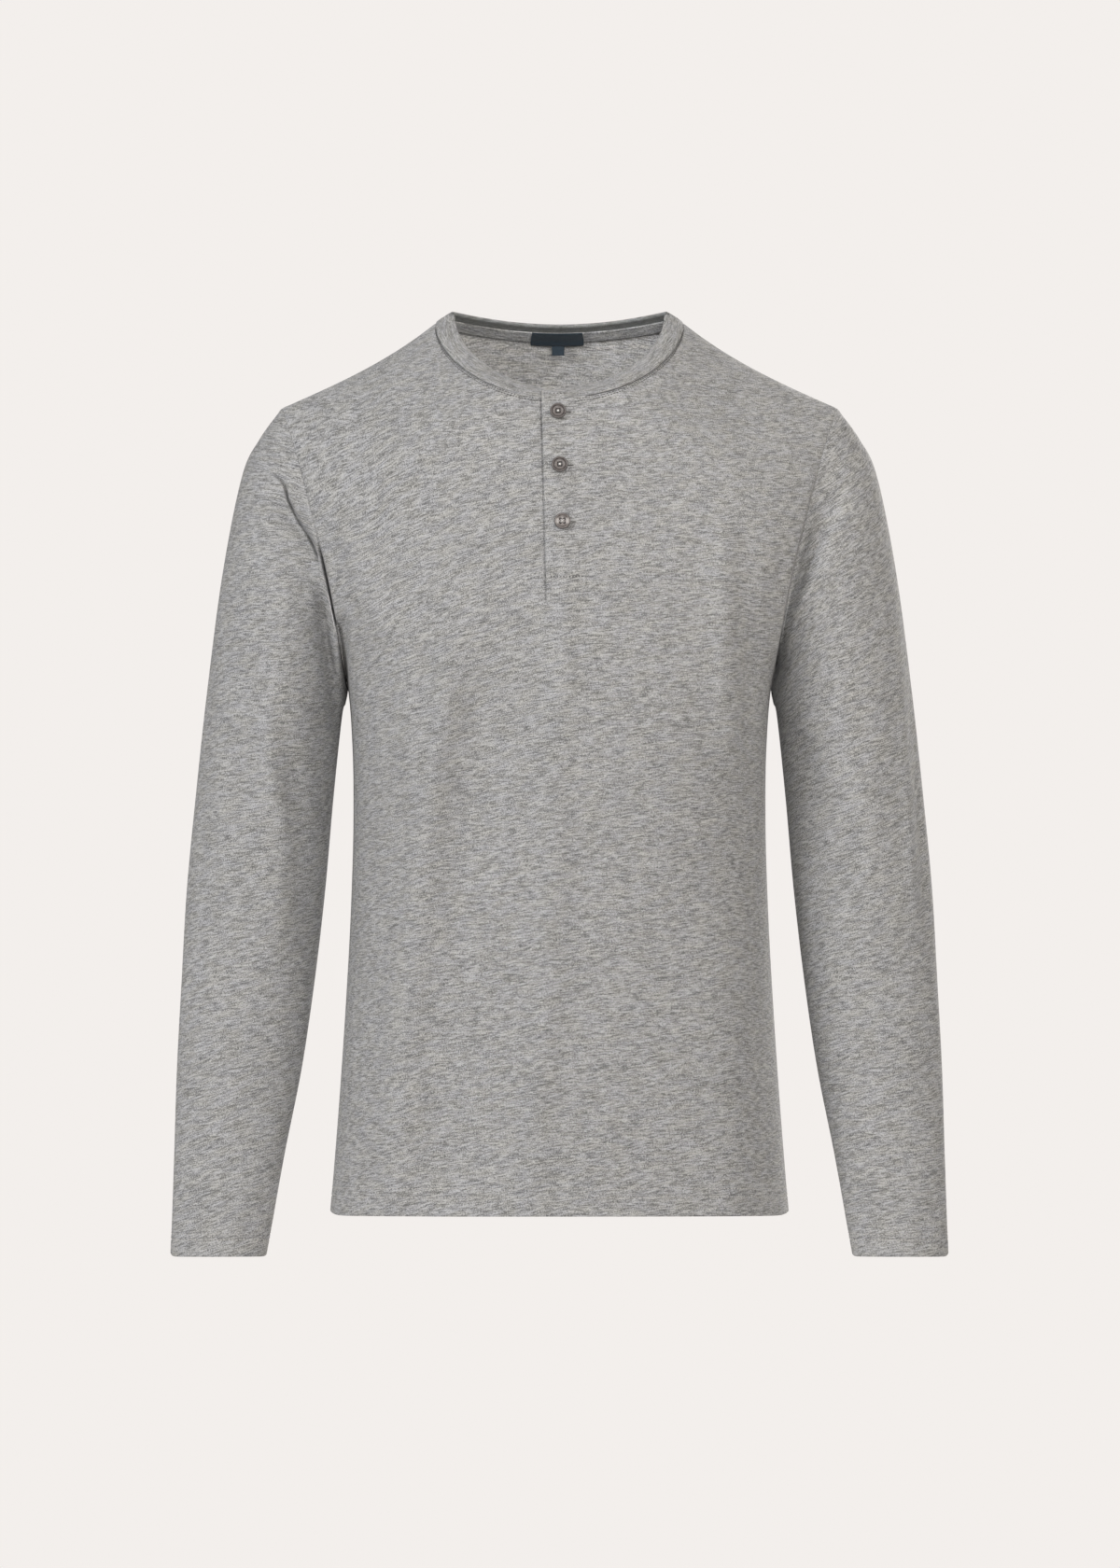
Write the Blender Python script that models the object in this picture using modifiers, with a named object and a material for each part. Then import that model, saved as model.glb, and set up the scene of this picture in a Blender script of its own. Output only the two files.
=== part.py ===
"""Henley shirt, long-sleeved, filled out as if worn, with no wearer inside.

Metres, +Z up. The origin lies midway between the two points where the shoulder
seams meet the neckband, the plane y = 0 runs through the shoulder and side seams,
the front faces -Y, and the wearer's left is +X. Every panel is a cloth wall whose
outer face is worked out on a grid from the tables below. "Front view" means the
x and z of a point alone.
"""

from collections import namedtuple
from math import pi

import bmesh
import bpy
import numpy as np
from mathutils import Matrix, Vector

# ---------------------------------------------------------------- driving dimensions
CLOTH = 0.0015             # wall of the panels
BAND_CLOTH = 0.0020        # the neckband is folded double
SEAM_GAP = 0.0003          # between pieces that are sewn together
NECK_HALF_WIDTH = 0.0978   # collar seam at the shoulder
NECK_DROP_FRONT = 0.0595
NECK_DROP_BACK = 0.0110
SHOULDER_TIP = (0.2183, -0.0669)
UNDERARM_Z = -0.2903
HEM_Z = -0.702
HEM_CORNER_RISE = 0.004    # the hem's and cuffs' corners are rounded by this much
HEM_CORNER_HEIGHT = 0.030
CUFF_CORNER_RISE = 0.003
CORNER_POWER = 16          # how near the edge the rounding starts
BAND_WIDTH = 0.016
NECK_U = 0.4               # grid coordinate of the shoulder seam's neck end
NECK_RISE = 0.050          # how far the shoulder line goes on rising inside the neck
NECK_STEEPNESS = 1.44      # its slope at the collar seam, as a share of the shoulder's
SHOULDER_BOW = (0.19, 0.25)  # how far the shoulder seam bows down, along it and near the neck
SHOULDER_BLEND = 0.06      # |x| from which the neck's closing turns into the tip's

# Placket: a slanting strip down the centre front.
PLACKET_HALF_WIDTH = 0.0158
PLACKET_LEAN = (0.0019, 0.0060)      # centre line's x at its top and at its bottom
PLACKET_BOTTOM_Z = -0.221
SLIT_BOTTOM_Z = -0.200
SLIT_EDGES = (-0.011, 0.0155)        # the opening in the front, from the centre line
BUTTON_RADIUS = 0.00635
BUTTON_THICKNESS = 0.0026
BUTTON_OFFSET = -0.0033              # from the placket's centre line
BUTTON_HEIGHTS = (-0.0698, -0.1117, -0.1561)
BUTTON_CLEAR = 0.0005                # under a button, where its thread shank is
BUTTON_STEPS = 20
BUTTON_HOLE_OFFSET = 0.0012
BUTTON_HOLE_RADIUS = 0.0008
# Half profile of a button: distance from its axis and height, as shares of its radius and
# of half its thickness.
BUTTON_PROFILE = ((0.0, 0.25), (0.62, 0.25), (0.80, 1.0), (0.94, 1.0), (1.0, 0.3), (0.70, -1.0), (0.0, -1.0))

# How far the strips' faces stand out from the front's outer face, by column: the inner
# face of the over strip from its free edge to its sewn edge, and the outer face of the
# under strip from its sewn edge on.
STRIP_CLEAR = 0.00035
OVER_LIFTS = (STRIP_CLEAR, STRIP_CLEAR, 0.0, -0.0005, -0.00095, -0.0014, -CLOTH)
UNDER_LIFTS = (0.0, -0.00035, -0.00085, -0.0013, -0.00175)
UNDER_FOOT_DROP = 0.0002

# Neckband: its lean above the horizontal at the front, the shoulders and the back, the
# rows of its width, its swell, and the grid steps over which its lapped ends part.
BAND_LIFTS = (33.0, 30.0, 38.0)
BAND_ROWS = (0.0, 0.35, 0.7, 1.0)
BAND_SWELL = 0.0008
BAND_FOOT = SEAM_GAP * 1.3
LAP_STEPS = 9.0

# Body: the side seam's x below the underarm and the armhole seam's x above it, with
# the full depth of the front and the back on the centre line and the superellipse's exponent.
Ring = namedtuple("Ring", "height half_width front_depth back_depth roundness")
TORSO = (
    Ring(-0.7020, 0.1804, 0.1215, 0.1120, 2.4),
    Ring(-0.6200, 0.1738, 0.1230, 0.1090, 2.4),
    Ring(-0.5400, 0.1683, 0.1245, 0.1070, 2.4),
    Ring(-0.4600, 0.1640, 0.1260, 0.1055, 2.4),
    Ring(-0.3900, 0.1621, 0.1275, 0.1070, 2.5),
    Ring(-0.3350, 0.1628, 0.1285, 0.1120, 2.7),
    Ring(-0.2903, 0.1661, 0.1280, 0.1170, 2.8),
    Ring(-0.2500, 0.1732, 0.1250, 0.1200, 2.6),
    Ring(-0.2000, 0.1830, 0.1180, 0.1200, 2.4),
    Ring(-0.1500, 0.1948, 0.1070, 0.1140, 2.4),
    Ring(-0.1000, 0.2078, 0.0920, 0.1010, 2.4),
    Ring(-0.0669, 0.2183, 0.0800, 0.0880, 2.4),
    Ring(0.0000, 0.2400, 0.0580, 0.0540, 2.4),
    Ring(0.0300, 0.2500, 0.0500, 0.0420, 2.4),
)

# How each side closes over the shoulder: reach is the height over which the depth
# grows to full, exponent its roundness, at the neck and at the tip; armhole is the
# armhole seam's depth as a share of the centre's.
Side = namedtuple("Side", "sign depth_column armhole reach exponent neck_drop neck_curve")
FRONT = Side(-1, "front_depth", 0.58, (0.085, 0.112), (1.3, 2.0), NECK_DROP_FRONT, 1.1)
BACK = Side(1, "back_depth", 0.53, (0.085, 0.112), (1.6, 2.0), NECK_DROP_BACK, 2.2)

# Sleeve: where each section's outer and inner edge lie in the front view, with its
# middle y and its half depth. Section 0 is the armhole and takes its depth from it.
Section = namedtuple("Section", "outer_x outer_z inner_x inner_z middle half_depth")
SLEEVE = (
    Section(0.2183, -0.0669, 0.1661, -0.2903, 0.0000, 0.0640),
    Section(0.2359, -0.0911, 0.1668, -0.2925, 0.0000, 0.0620),
    Section(0.2499, -0.1205, 0.1673, -0.2950, 0.0000, 0.0610),
    Section(0.2653, -0.1977, 0.1684, -0.3000, 0.0000, 0.0600),
    Section(0.2778, -0.2933, 0.1712, -0.3110, 0.0000, 0.0580),
    Section(0.2866, -0.3749, 0.1779, -0.3749, -0.0020, 0.0525),
    Section(0.2933, -0.4454, 0.1841, -0.4454, -0.0060, 0.0455),
    Section(0.2973, -0.5160, 0.1922, -0.5160, -0.0120, 0.0375),
    Section(0.3010, -0.5865, 0.2025, -0.5865, -0.0180, 0.0315),
    Section(0.3032, -0.6571, 0.2165, -0.6571, -0.0240, 0.0270),
    Section(0.3058, -0.7343, 0.2301, -0.7343, -0.0290, 0.0240),
)

ARMHOLE_BLEND = 2.2        # section at which the sleeve has left the armhole's shape
CUFF_ROW = 9.6             # section from which the cuff's corners are rounded

# Soft folds as straight or bowed lines in the front view: height is raised if
# positive and sunk if negative, width is the half width of the swell, and bow moves
# the line's middle along x.
Fold = namedtuple("Fold", "x_top z_top x_bottom z_bottom bow width height")
FRONT_FOLDS = (
    Fold(-0.080, -0.225, -0.136, -0.720, -0.009, 0.016, 0.0065),
    Fold(-0.052, -0.225, -0.102, -0.740, -0.004, 0.019, -0.0055),
    Fold(-0.030, -0.235, -0.076, -0.740, 0.000, 0.030, -0.0022),
    Fold(0.003, -0.190, -0.027, -0.760, 0.003, 0.013, 0.0050),
    Fold(-0.118, -0.225, -0.119, -0.370, 0.000, 0.009, 0.0040),
    Fold(-0.150, -0.250, -0.156, -0.440, 0.000, 0.010, -0.0030),
    Fold(-0.166, -0.165, -0.138, -0.255, 0.000, 0.015, 0.0060),
    Fold(0.128, -0.150, 0.136, -0.360, 0.000, 0.012, 0.0060),
    Fold(0.147, -0.205, 0.163, -0.470, 0.000, 0.010, -0.0055),
    Fold(0.132, -0.430, 0.142, -0.740, 0.000, 0.024, 0.0060),
    Fold(0.165, -0.170, 0.150, -0.250, 0.000, 0.012, 0.0030),
)
BACK_FOLDS = (
    Fold(-0.120, -0.190, -0.095, -0.520, 0.010, 0.018, -0.0050),
    Fold(-0.085, -0.230, -0.070, -0.640, 0.008, 0.020, 0.0045),
    Fold(0.110, -0.180, 0.080, -0.560, -0.010, 0.018, -0.0050),
    Fold(0.060, -0.260, 0.055, -0.680, 0.000, 0.022, 0.0045),
    Fold(-0.010, -0.330, 0.006, -0.650, 0.008, 0.020, -0.0040),
    Fold(-0.160, -0.230, -0.130, -0.330, 0.000, 0.012, 0.0035),
    Fold(0.160, -0.230, 0.135, -0.340, 0.000, 0.012, 0.0035),
)
FOLD_ENDS = (0.86, 0.98)   # share of the half width over which the body's folds fade out
FOLD_NECK_FADE = 0.05      # and the height below the collar seam
# Sleeve folds use distances from the body's middle, so x is positive on both sides.
SLEEVE_RIGHT_FRONT = (
    Fold(0.226, -0.125, 0.173, -0.268, -0.008, 0.013, -0.0070),
    Fold(0.262, -0.255, 0.258, -0.480, 0.008, 0.012, 0.0030),
    Fold(0.250, -0.310, 0.250, -0.430, 0.000, 0.011, -0.0030),
    Fold(0.236, -0.300, 0.206, -0.445, 0.000, 0.010, 0.0035),
    Fold(0.214, -0.325, 0.198, -0.500, 0.000, 0.010, -0.0035),
    Fold(0.282, -0.520, 0.262, -0.640, 0.000, 0.014, 0.0020),
)
SLEEVE_LEFT_FRONT = (
    Fold(0.222, -0.122, 0.174, -0.268, -0.008, 0.013, -0.0070),
    Fold(0.268, -0.215, 0.284, -0.440, 0.000, 0.009, 0.0025),
    Fold(0.193, -0.320, 0.203, -0.470, 0.000, 0.012, -0.0035),
    Fold(0.216, -0.360, 0.222, -0.470, 0.000, 0.013, -0.0030),
    Fold(0.240, -0.340, 0.236, -0.520, 0.006, 0.012, 0.0025),
    Fold(0.262, -0.540, 0.280, -0.640, 0.000, 0.014, 0.0020),
)
SLEEVE_BACK = (
    Fold(0.222, -0.130, 0.176, -0.262, -0.008, 0.014, -0.0060),
    Fold(0.262, -0.300, 0.210, -0.420, 0.000, 0.012, 0.0035),
    Fold(0.278, -0.390, 0.218, -0.480, 0.000, 0.010, -0.0035),
    Fold(0.280, -0.450, 0.226, -0.540, 0.000, 0.012, 0.0030),
)

# Grid lines. Columns run across a panel, from 0 at the centre to 1 at the side.
NECK_COLUMNS_FRONT = (0.1, 0.145, 0.19, 0.235, 0.28, 0.325, 0.365)
NECK_COLUMNS_BACK = (0.0, 0.045, 0.09, 0.135, 0.18, 0.225, 0.265, 0.305, 0.34, 0.375)
SIDE_COLUMNS = (0.4, 0.48, 0.56, 0.64, 0.72, 0.80, 0.87, 0.93, 0.97, 1.0)
PLACKET_COLUMNS = (-PLACKET_HALF_WIDTH, SLIT_EDGES[0], -0.0055, 0.0, 0.0055, 0.011, SLIT_EDGES[1])
UPPER_ROWS = (-0.2903, -0.2865, -0.2750, -0.2570, -0.2385, PLACKET_BOTTOM_Z, SLIT_BOTTOM_Z,
              -0.1760, -0.1470, -0.1180, -0.0935, -0.0750, -0.0635, -NECK_DROP_FRONT)
LOWER_ROW_COUNT = 15
SLEEVE_ROWS = (0.0, 0.18, 0.45, 0.8, 1.3, 1.9, 2.4, 2.8, 3.3, 3.8, 4.3, 4.7, 5.1, 5.5,
               5.9, 6.35, 6.8, 7.3, 7.8, 8.4, 9.0, 9.6, 10.0)

# Neck tape, label and size tab on the inside of the back neck: how far each reaches up
# and down from the seam, and where its middle lies.
BEHIND = 0.0004            # between one layer and the next
TAPE_CLOTH = 0.0008
TAPE_UP = 0.0090
TAPE_DOWN = 0.0035
TAPE_SWELL = 0.0002        # the tape's upper edge follows the neckband's swell by this much
LABEL_CLOTH = 0.0006
LABEL_HALF_WIDTH = 0.0213
LABEL_MIDDLE = -0.0018
LABEL_UP = 0.0100
LABEL_DOWN = 0.0056
TAB_HALF_WIDTH = 0.0051
TAB_MIDDLE = -0.0011
TAB_LENGTH = 0.0073

# Name, colour, roughness of each material.
FINISHES = {
    "jersey": ((0.36, 0.36, 0.35), 0.92),
    "rib": ((0.34, 0.34, 0.33), 0.92),
    "tape": ((0.16, 0.16, 0.16), 0.9),
    "navy": ((0.012, 0.022, 0.035), 0.75),
    "horn": ((0.16, 0.13, 0.12), 0.4),
}


# ---------------------------------------------------------------- small tools
def column(table, name):
    """One named column of a table, as an array."""
    return np.array([getattr(row, name) for row in table])


def through(knots, values, at):
    """Smooth curve through a table's rows, cubic between them, level beyond its ends."""
    order = np.argsort(knots)
    knots = np.asarray(knots, float)[order]
    values = np.asarray(values, float)[order]
    slopes = np.gradient(values, knots)
    at = np.clip(at, knots[0], knots[-1])
    left = np.clip(np.searchsorted(knots, at, side="right") - 1, 0, len(knots) - 2)
    step = knots[left + 1] - knots[left]
    t = (at - knots[left]) / step
    return ((2 * t**3 - 3 * t**2 + 1) * values[left] + (3 * t**2 - 2 * t**3) * values[left + 1]
            + step * ((t**3 - 2 * t**2 + t) * slopes[left] + (t**3 - t**2) * slopes[left + 1]))


def ease(t):
    """0 to 1 with level ends."""
    t = np.clip(t, 0.0, 1.0)
    return t * t * (3 - 2 * t)


def unit(vectors):
    """Vectors at length 1."""
    length = np.linalg.norm(vectors, axis=-1, keepdims=True)
    return vectors / np.maximum(length, 1e-12)


def points(x, y, z):
    """x, y and z arrays as one array of points."""
    return np.stack(np.broadcast_arrays(x, y, z), axis=-1)


def outward(grid, closed=False):
    """Unit normals of a grid whose columns step to the right as seen from outside and whose rows step up."""
    if closed:
        across = np.roll(grid, -1, axis=1) - np.roll(grid, 1, axis=1)
    else:
        across = np.gradient(grid, axis=1)
    return unit(np.cross(across, np.gradient(grid, axis=0)))


# ---------------------------------------------------------------- body surface
def shoulder_height(x):
    """Height of the shoulder seam at x, levelling off inside the neck."""
    drop = -SHOULDER_TIP[1]
    s = (np.abs(x) - NECK_HALF_WIDTH) / (SHOULDER_TIP[0] - NECK_HALF_WIDTH)
    outer = -drop * (s + SHOULDER_BOW[0] * s * (1 - s) + SHOULDER_BOW[1] * s * (1 - s) ** 2)
    inner = NECK_RISE * (1 - np.exp(NECK_STEEPNESS * drop * np.minimum(s, 0.0) / NECK_RISE))
    return np.where(s > 0, outer, inner)


def seam_x(z):
    """x of the side seam, or above the underarm of the armhole seam, at height z."""
    return through(column(TORSO, "height"), column(TORSO, "half_width"), z)


def depth(side, x, z):
    """Distance of the body's cloth from y = 0. The cross-section is a superellipse through the
    armhole seam, and it closes over the shoulder along another."""
    full = through(column(TORSO, "height"), column(TORSO, side.depth_column), z)
    middle = (UNDERARM_Z + SHOULDER_TIP[1]) / 2
    below = np.clip((middle - z) / (middle - UNDERARM_Z), 0.0, 1.0)
    share = side.armhole * (1 - below**3)
    power = through(column(TORSO, "height"), column(TORSO, "roundness"), z)
    width = seam_x(z) / (1 - share**power) ** (1 / power)
    section = full * np.clip(1 - (np.abs(x) / width) ** power, 0.0, 1.0) ** (1 / power)
    out = ease((np.abs(x) - SHOULDER_BLEND) / (SHOULDER_TIP[0] - SHOULDER_BLEND))
    reach = side.reach[0] + (side.reach[1] - side.reach[0]) * out
    exponent = side.exponent[0] + (side.exponent[1] - side.exponent[0]) * out
    under_seam = np.clip((shoulder_height(x) - z) / reach, 0.0, 1.0)
    return section * (1 - (1 - under_seam) ** exponent) ** (1 / exponent)


def fold_swell(folds, x, z):
    """Sum of the folds' heights at points of the front view."""
    total = np.zeros(np.broadcast(x, z).shape)
    for fold in folds:
        along = (z - fold.z_top) / (fold.z_bottom - fold.z_top)
        inside = np.clip(along, 0.0, 1.0)
        line = fold.x_top + (fold.x_bottom - fold.x_top) * along + fold.bow * 4 * inside * (1 - inside)
        fade = ease(along / 0.25 + 0.2) * ease((1 - along) / 0.25 + 0.2)
        total = total + fold.height * fade * np.exp(-(((x - line) / fold.width) ** 2))
    return total


def placket_line(z):
    """x of the placket's centre line, which leans and returns to the middle below it."""
    top, bottom = PLACKET_LEAN
    t = (-NECK_DROP_FRONT - z) / (-NECK_DROP_FRONT - PLACKET_BOTTOM_Z)
    lean = top + (bottom - top) * np.clip(t, 0.0, 1.0)
    return lean * ease((z - UNDERARM_Z + 0.02) / 0.06)


def neck_height(side, x):
    """Height of the collar seam at x, inside the neck."""
    cosine = np.sqrt(np.clip(1 - (x / NECK_HALF_WIDTH) ** 2, 0.0, 1.0))
    return -side.neck_drop * cosine**side.neck_curve


def upper_flat(side, u, m):
    """Front-view x and z above the underarm: a Coons patch between the underarm row, the
    armhole seams and the collar and shoulder seams. m runs from 0 at the underarm to 1."""
    across = np.abs(u)
    turn = np.clip(across / NECK_U, 0.0, 1.0) * pi / 2
    out = np.clip((across - NECK_U) / (1 - NECK_U), 0.0, 1.0)
    top_x = np.where(across < NECK_U, NECK_HALF_WIDTH * np.sin(turn),
                     NECK_HALF_WIDTH + (SHOULDER_TIP[0] - NECK_HALF_WIDTH) * out)
    top_z = np.where(across < NECK_U, neck_height(side, top_x), shoulder_height(top_x))
    bottom_x = seam_x(UNDERARM_Z) * np.sin(across * pi / 2)
    edge_z = UNDERARM_Z + (SHOULDER_TIP[1] - UNDERARM_Z) * m
    corner_x = (1 - m) * seam_x(UNDERARM_Z) + m * SHOULDER_TIP[0]
    x = (1 - m) * bottom_x + m * top_x + across**3 * (seam_x(edge_z) - corner_x)
    return np.sign(u) * x, (1 - m) * UNDERARM_Z + m * top_z


def body_points(side, x, z):
    """Points of the body's surface over front-view x and z, with the side's folds."""
    swell = fold_swell(FRONT_FOLDS if side is FRONT else BACK_FOLDS, x, z)
    near_seam = np.abs(x) / seam_x(z)
    swell = swell * (1 - ease((near_seam - FOLD_ENDS[0]) / (FOLD_ENDS[1] - FOLD_ENDS[0])))
    neck = neck_height(side, np.minimum(np.abs(x), NECK_HALF_WIDTH))
    swell = swell * ease((neck - z) / FOLD_NECK_FADE)
    return points(x, side.sign * (depth(side, x, z) + swell), z)


def row_values():
    """m of each row above the underarm, and z of each row below it, from the hem up."""
    upper = (np.array(UPPER_ROWS) - UNDERARM_Z) / (UPPER_ROWS[-1] - UNDERARM_Z)
    lower = np.linspace(HEM_Z, UNDERARM_Z, LOWER_ROW_COUNT + 1)[:-1]
    return lower, upper


def column_grid(side, u):
    """The column at grid coordinate u, from hem to top."""
    lower, upper = row_values()
    corner = (HEM_CORNER_RISE * np.sin(abs(u) * pi / 2) ** CORNER_POWER
              * ease((HEM_Z + HEM_CORNER_HEIGHT - lower) / HEM_CORNER_HEIGHT))
    low_x = np.sign(u) * seam_x(lower + corner) * np.sin(abs(u) * pi / 2)
    high_x, high_z = upper_flat(side, np.full(len(upper), float(u)), upper)
    return body_points(side, np.append(low_x, high_x), np.append(lower + corner, high_z))


def placket_column(offset):
    """The front's column at a distance from the placket's centre line, from hem to collar seam."""
    lower, upper = row_values()
    middle_z = UNDERARM_Z + (-NECK_DROP_FRONT - UNDERARM_Z) * upper
    x = np.append(placket_line(lower), placket_line(middle_z)) + offset
    top_z = (1 - upper) * UNDERARM_Z + upper * neck_height(FRONT, x[len(lower):])
    return body_points(FRONT, x, np.append(lower, top_z))


def front_grid():
    """The front's outer points, rows from the hem up, columns from the wearer's right to left."""
    sides = NECK_COLUMNS_FRONT + SIDE_COLUMNS
    columns = [column_grid(FRONT, -u) for u in reversed(sides)]
    columns += [placket_column(offset) for offset in PLACKET_COLUMNS]
    columns += [column_grid(FRONT, u) for u in sides]
    return np.stack(columns, axis=1)


def back_grid():
    """The back's outer points, rows from the hem up, columns from the wearer's left to right."""
    sides = NECK_COLUMNS_BACK[1:] + SIDE_COLUMNS
    columns = [column_grid(BACK, u) for u in reversed(sides)]
    columns += [column_grid(BACK, 0.0)]
    columns += [column_grid(BACK, -u) for u in sides]
    return np.stack(columns, axis=1)


# ---------------------------------------------------------------- sleeve surface
def armhole_turns():
    """Angle of each point round the armhole, from the shoulder tip down the front and up the back."""
    _, upper = row_values()
    down = np.arccos(2 * upper[::-1] - 1)
    return np.append(down, 2 * pi - down[-2:0:-1])


def armhole(turn):
    """Points of the armhole seam of the wearer's left side."""
    z = SHOULDER_TIP[1] + (UNDERARM_Z - SHOULDER_TIP[1]) * (1 - np.cos(turn)) / 2
    x = seam_x(z)
    in_front = np.sin(turn) >= 0
    y = np.where(in_front, -depth(FRONT, x, z), depth(BACK, x, z))
    return points(x, y, z)


def armhole_inward(ring):
    """Unit vectors from the armhole seam to the inside of its own ring."""
    lean = unit(np.array([SHOULDER_TIP[1] - UNDERARM_Z, 0.0, seam_x(UNDERARM_Z) - SHOULDER_TIP[0]]))
    along = np.roll(ring, -1, axis=0) - np.roll(ring, 1, axis=0)
    return unit(np.cross(lean, along))


def sleeve_grid(front_folds):
    """The left sleeve's outer points: rows down the arm, columns round it from the outer edge
    over the front, the inner edge and the back."""
    turn = armhole_turns()
    across = (1 - np.cos(turn)) / 2
    rows = np.array(SLEEVE_ROWS)
    station = np.arange(len(SLEEVE))
    read = {name: through(station, column(SLEEVE, name), rows)[:, None] for name in Section._fields}
    x = read["outer_x"] + (read["inner_x"] - read["outer_x"]) * across
    z = read["outer_z"] + (read["inner_z"] - read["outer_z"]) * across
    y = read["middle"] - read["half_depth"] * np.sin(turn)
    seam = armhole(turn)
    blend = (1 - ease(rows / ARMHOLE_BLEND))[:, None]
    chord_x = SHOULDER_TIP[0] + (seam_x(UNDERARM_Z) - SHOULDER_TIP[0]) * across
    x = x + blend * (seam[:, 0] - chord_x)
    y = blend * seam[:, 1] + (1 - blend) * y
    corner = CUFF_CORNER_RISE * np.abs(np.cos(turn)) ** CORNER_POWER
    z = z + corner * ease((rows - CUFF_ROW) / (rows[-1] - CUFF_ROW))[:, None]
    facing = np.sin(turn)
    swell = fold_swell(front_folds, x, z) * ease(facing / 0.5)
    swell = swell + fold_swell(SLEEVE_BACK, x, z) * ease(-facing / 0.5)
    swell = swell * ease(rows / 0.8)[:, None] * ease((10.2 - rows) / 0.8)[:, None]
    y = y - swell * np.sign(facing)
    return points(x, y, z)


# ---------------------------------------------------------------- building pieces
def clear_scene():
    """Remove every object of the open scene."""
    for item in list(bpy.data.objects):
        bpy.data.objects.remove(item, do_unlink=True)


def collection_named(name):
    """A collection of the scene, made if it is missing."""
    found = bpy.data.collections.get(name) or bpy.data.collections.new(name)
    if found.name not in bpy.context.scene.collection.children:
        bpy.context.scene.collection.children.link(found)
    return found


def material(piece, finish):
    """The piece's own Principled material."""
    colour, roughness = FINISHES[finish]
    made = bpy.data.materials.new(f"{piece}_{finish}")
    made.use_nodes = True
    shader = made.node_tree.nodes["Principled BSDF"]
    shader.inputs["Base Color"].default_value = (*colour, 1.0)
    shader.inputs["Roughness"].default_value = roughness
    shader.inputs["Metallic"].default_value = 0.0
    return made


def place(mesh, name, finish, smooth=True):
    """Put a mesh into the scene as a named piece."""
    item = bpy.data.objects.new(name, mesh)
    collection_named("henley_shirt").objects.link(item)
    mesh.materials.append(material(name, finish))
    if smooth:
        mesh.shade_smooth()
        mesh.set_sharp_from_angle(angle=0.7)
    return item


def wall(name, finish, outer, inner, cells=None, closed=False, mirrored=False):
    """A closed cloth wall between an outer and an inner grid of points, over the grid cells that
    are present. closed joins the last column to the first, mirrored turns the faces round."""
    rows, columns = outer.shape[:2]
    spans = columns if closed else columns - 1
    if cells is None:
        cells = np.ones((rows - 1, spans), bool)
    row, col = np.nonzero(cells)
    right = (col + 1) % columns
    quads = np.stack([row * columns + col, row * columns + right,
                      (row + 1) * columns + right, (row + 1) * columns + col], axis=1)
    count = rows * columns
    edges = {(int(quad[k]), int(quad[(k + 1) % 4])) for quad in quads for k in range(4)}
    rim = [(b, a, a + count, b + count) for a, b in sorted(edges) if (b, a) not in edges]
    faces = [tuple(map(int, quad)) for quad in quads]
    faces += [tuple(int(corner) + count for corner in reversed(quad)) for quad in quads]
    faces += rim
    if mirrored:
        faces = [tuple(reversed(face)) for face in faces]
    corners = np.concatenate([outer.reshape(-1, 3), inner.reshape(-1, 3)])
    used, renumbered = np.unique(np.array(faces), return_inverse=True)
    mesh = bpy.data.meshes.new(name)
    mesh.from_pydata(corners[used].tolist(), [], renumbered.reshape(-1, 4).tolist())
    mesh.update()
    return place(mesh, name, finish)


def shirt_surfaces():
    """All outer grids with their outward directions, reconciled along the seams."""
    front, back = front_grid(), back_grid()
    front_out, back_out = outward(front), outward(back)
    lower_rows = LOWER_ROW_COUNT
    side_count = len(SIDE_COLUMNS) - 1
    turn = armhole_turns()
    ring = armhole(turn)
    ring_out = -armhole_inward(ring)
    half = len(UPPER_ROWS)
    down_front = ring_out[:half]
    up_back = np.vstack([ring_out[half - 1:], ring_out[:1]])

    # Side and shoulder seams: directions without y, the same for front and back.
    front_neck = slice(side_count, front.shape[1] - side_count)
    back_neck = slice(side_count, back.shape[1] - side_count)
    for out, neck in ((front_out, front_neck), (back_out, back_neck)):
        for edge in (0, -1):
            out[:, edge, 1] = 0.0
        out[-1, :neck.start + 1, 1] = 0.0
        out[-1, neck.stop - 1:, 1] = 0.0
    # Armhole seams.
    mirror = np.array([-1.0, 1.0, 1.0])
    front_out[lower_rows:, -1] = down_front[::-1]
    front_out[lower_rows:, 0] = down_front[::-1] * mirror
    back_out[lower_rows:, 0] = up_back
    back_out[lower_rows:, -1] = up_back * mirror
    return front, unit(front_out), back, unit(back_out), front_neck, back_neck, ring_out


def neckband_frame(front, front_out, back, back_out, front_neck, back_neck):
    """The collar seam as one ring from the wearer's right shoulder over the front and round the
    back, with the band's own direction at each point and the shared outward directions."""
    seam = np.vstack([front[-1, front_neck], back[-1, back_neck][1:-1]])
    along = np.roll(seam, -1, axis=0) - np.roll(seam, 1, axis=0)
    away = unit(points(along[:, 1], -along[:, 0], np.zeros(len(seam))))
    lift_front, lift_side, lift_back = np.radians(BAND_LIFTS)
    frontness = np.clip(-away[:, 1], 0.0, 1.0)
    backness = np.clip(away[:, 1], 0.0, 1.0)
    lift = lift_side + (lift_front - lift_side) * frontness + (lift_back - lift_side) * backness
    rise = -away * np.cos(lift)[:, None]
    rise[:, 2] = np.sin(lift)
    band_out = unit(np.cross(along, rise))
    panel_out = np.vstack([front_out[-1, front_neck], back_out[-1, back_neck][1:-1]])
    shared = unit(band_out + panel_out)
    shoulders = (0, front_neck.stop - front_neck.start - 1)
    for shoulder in shoulders:
        shared[shoulder, 1] = 0.0
    return seam, rise, band_out, unit(shared)


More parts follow.
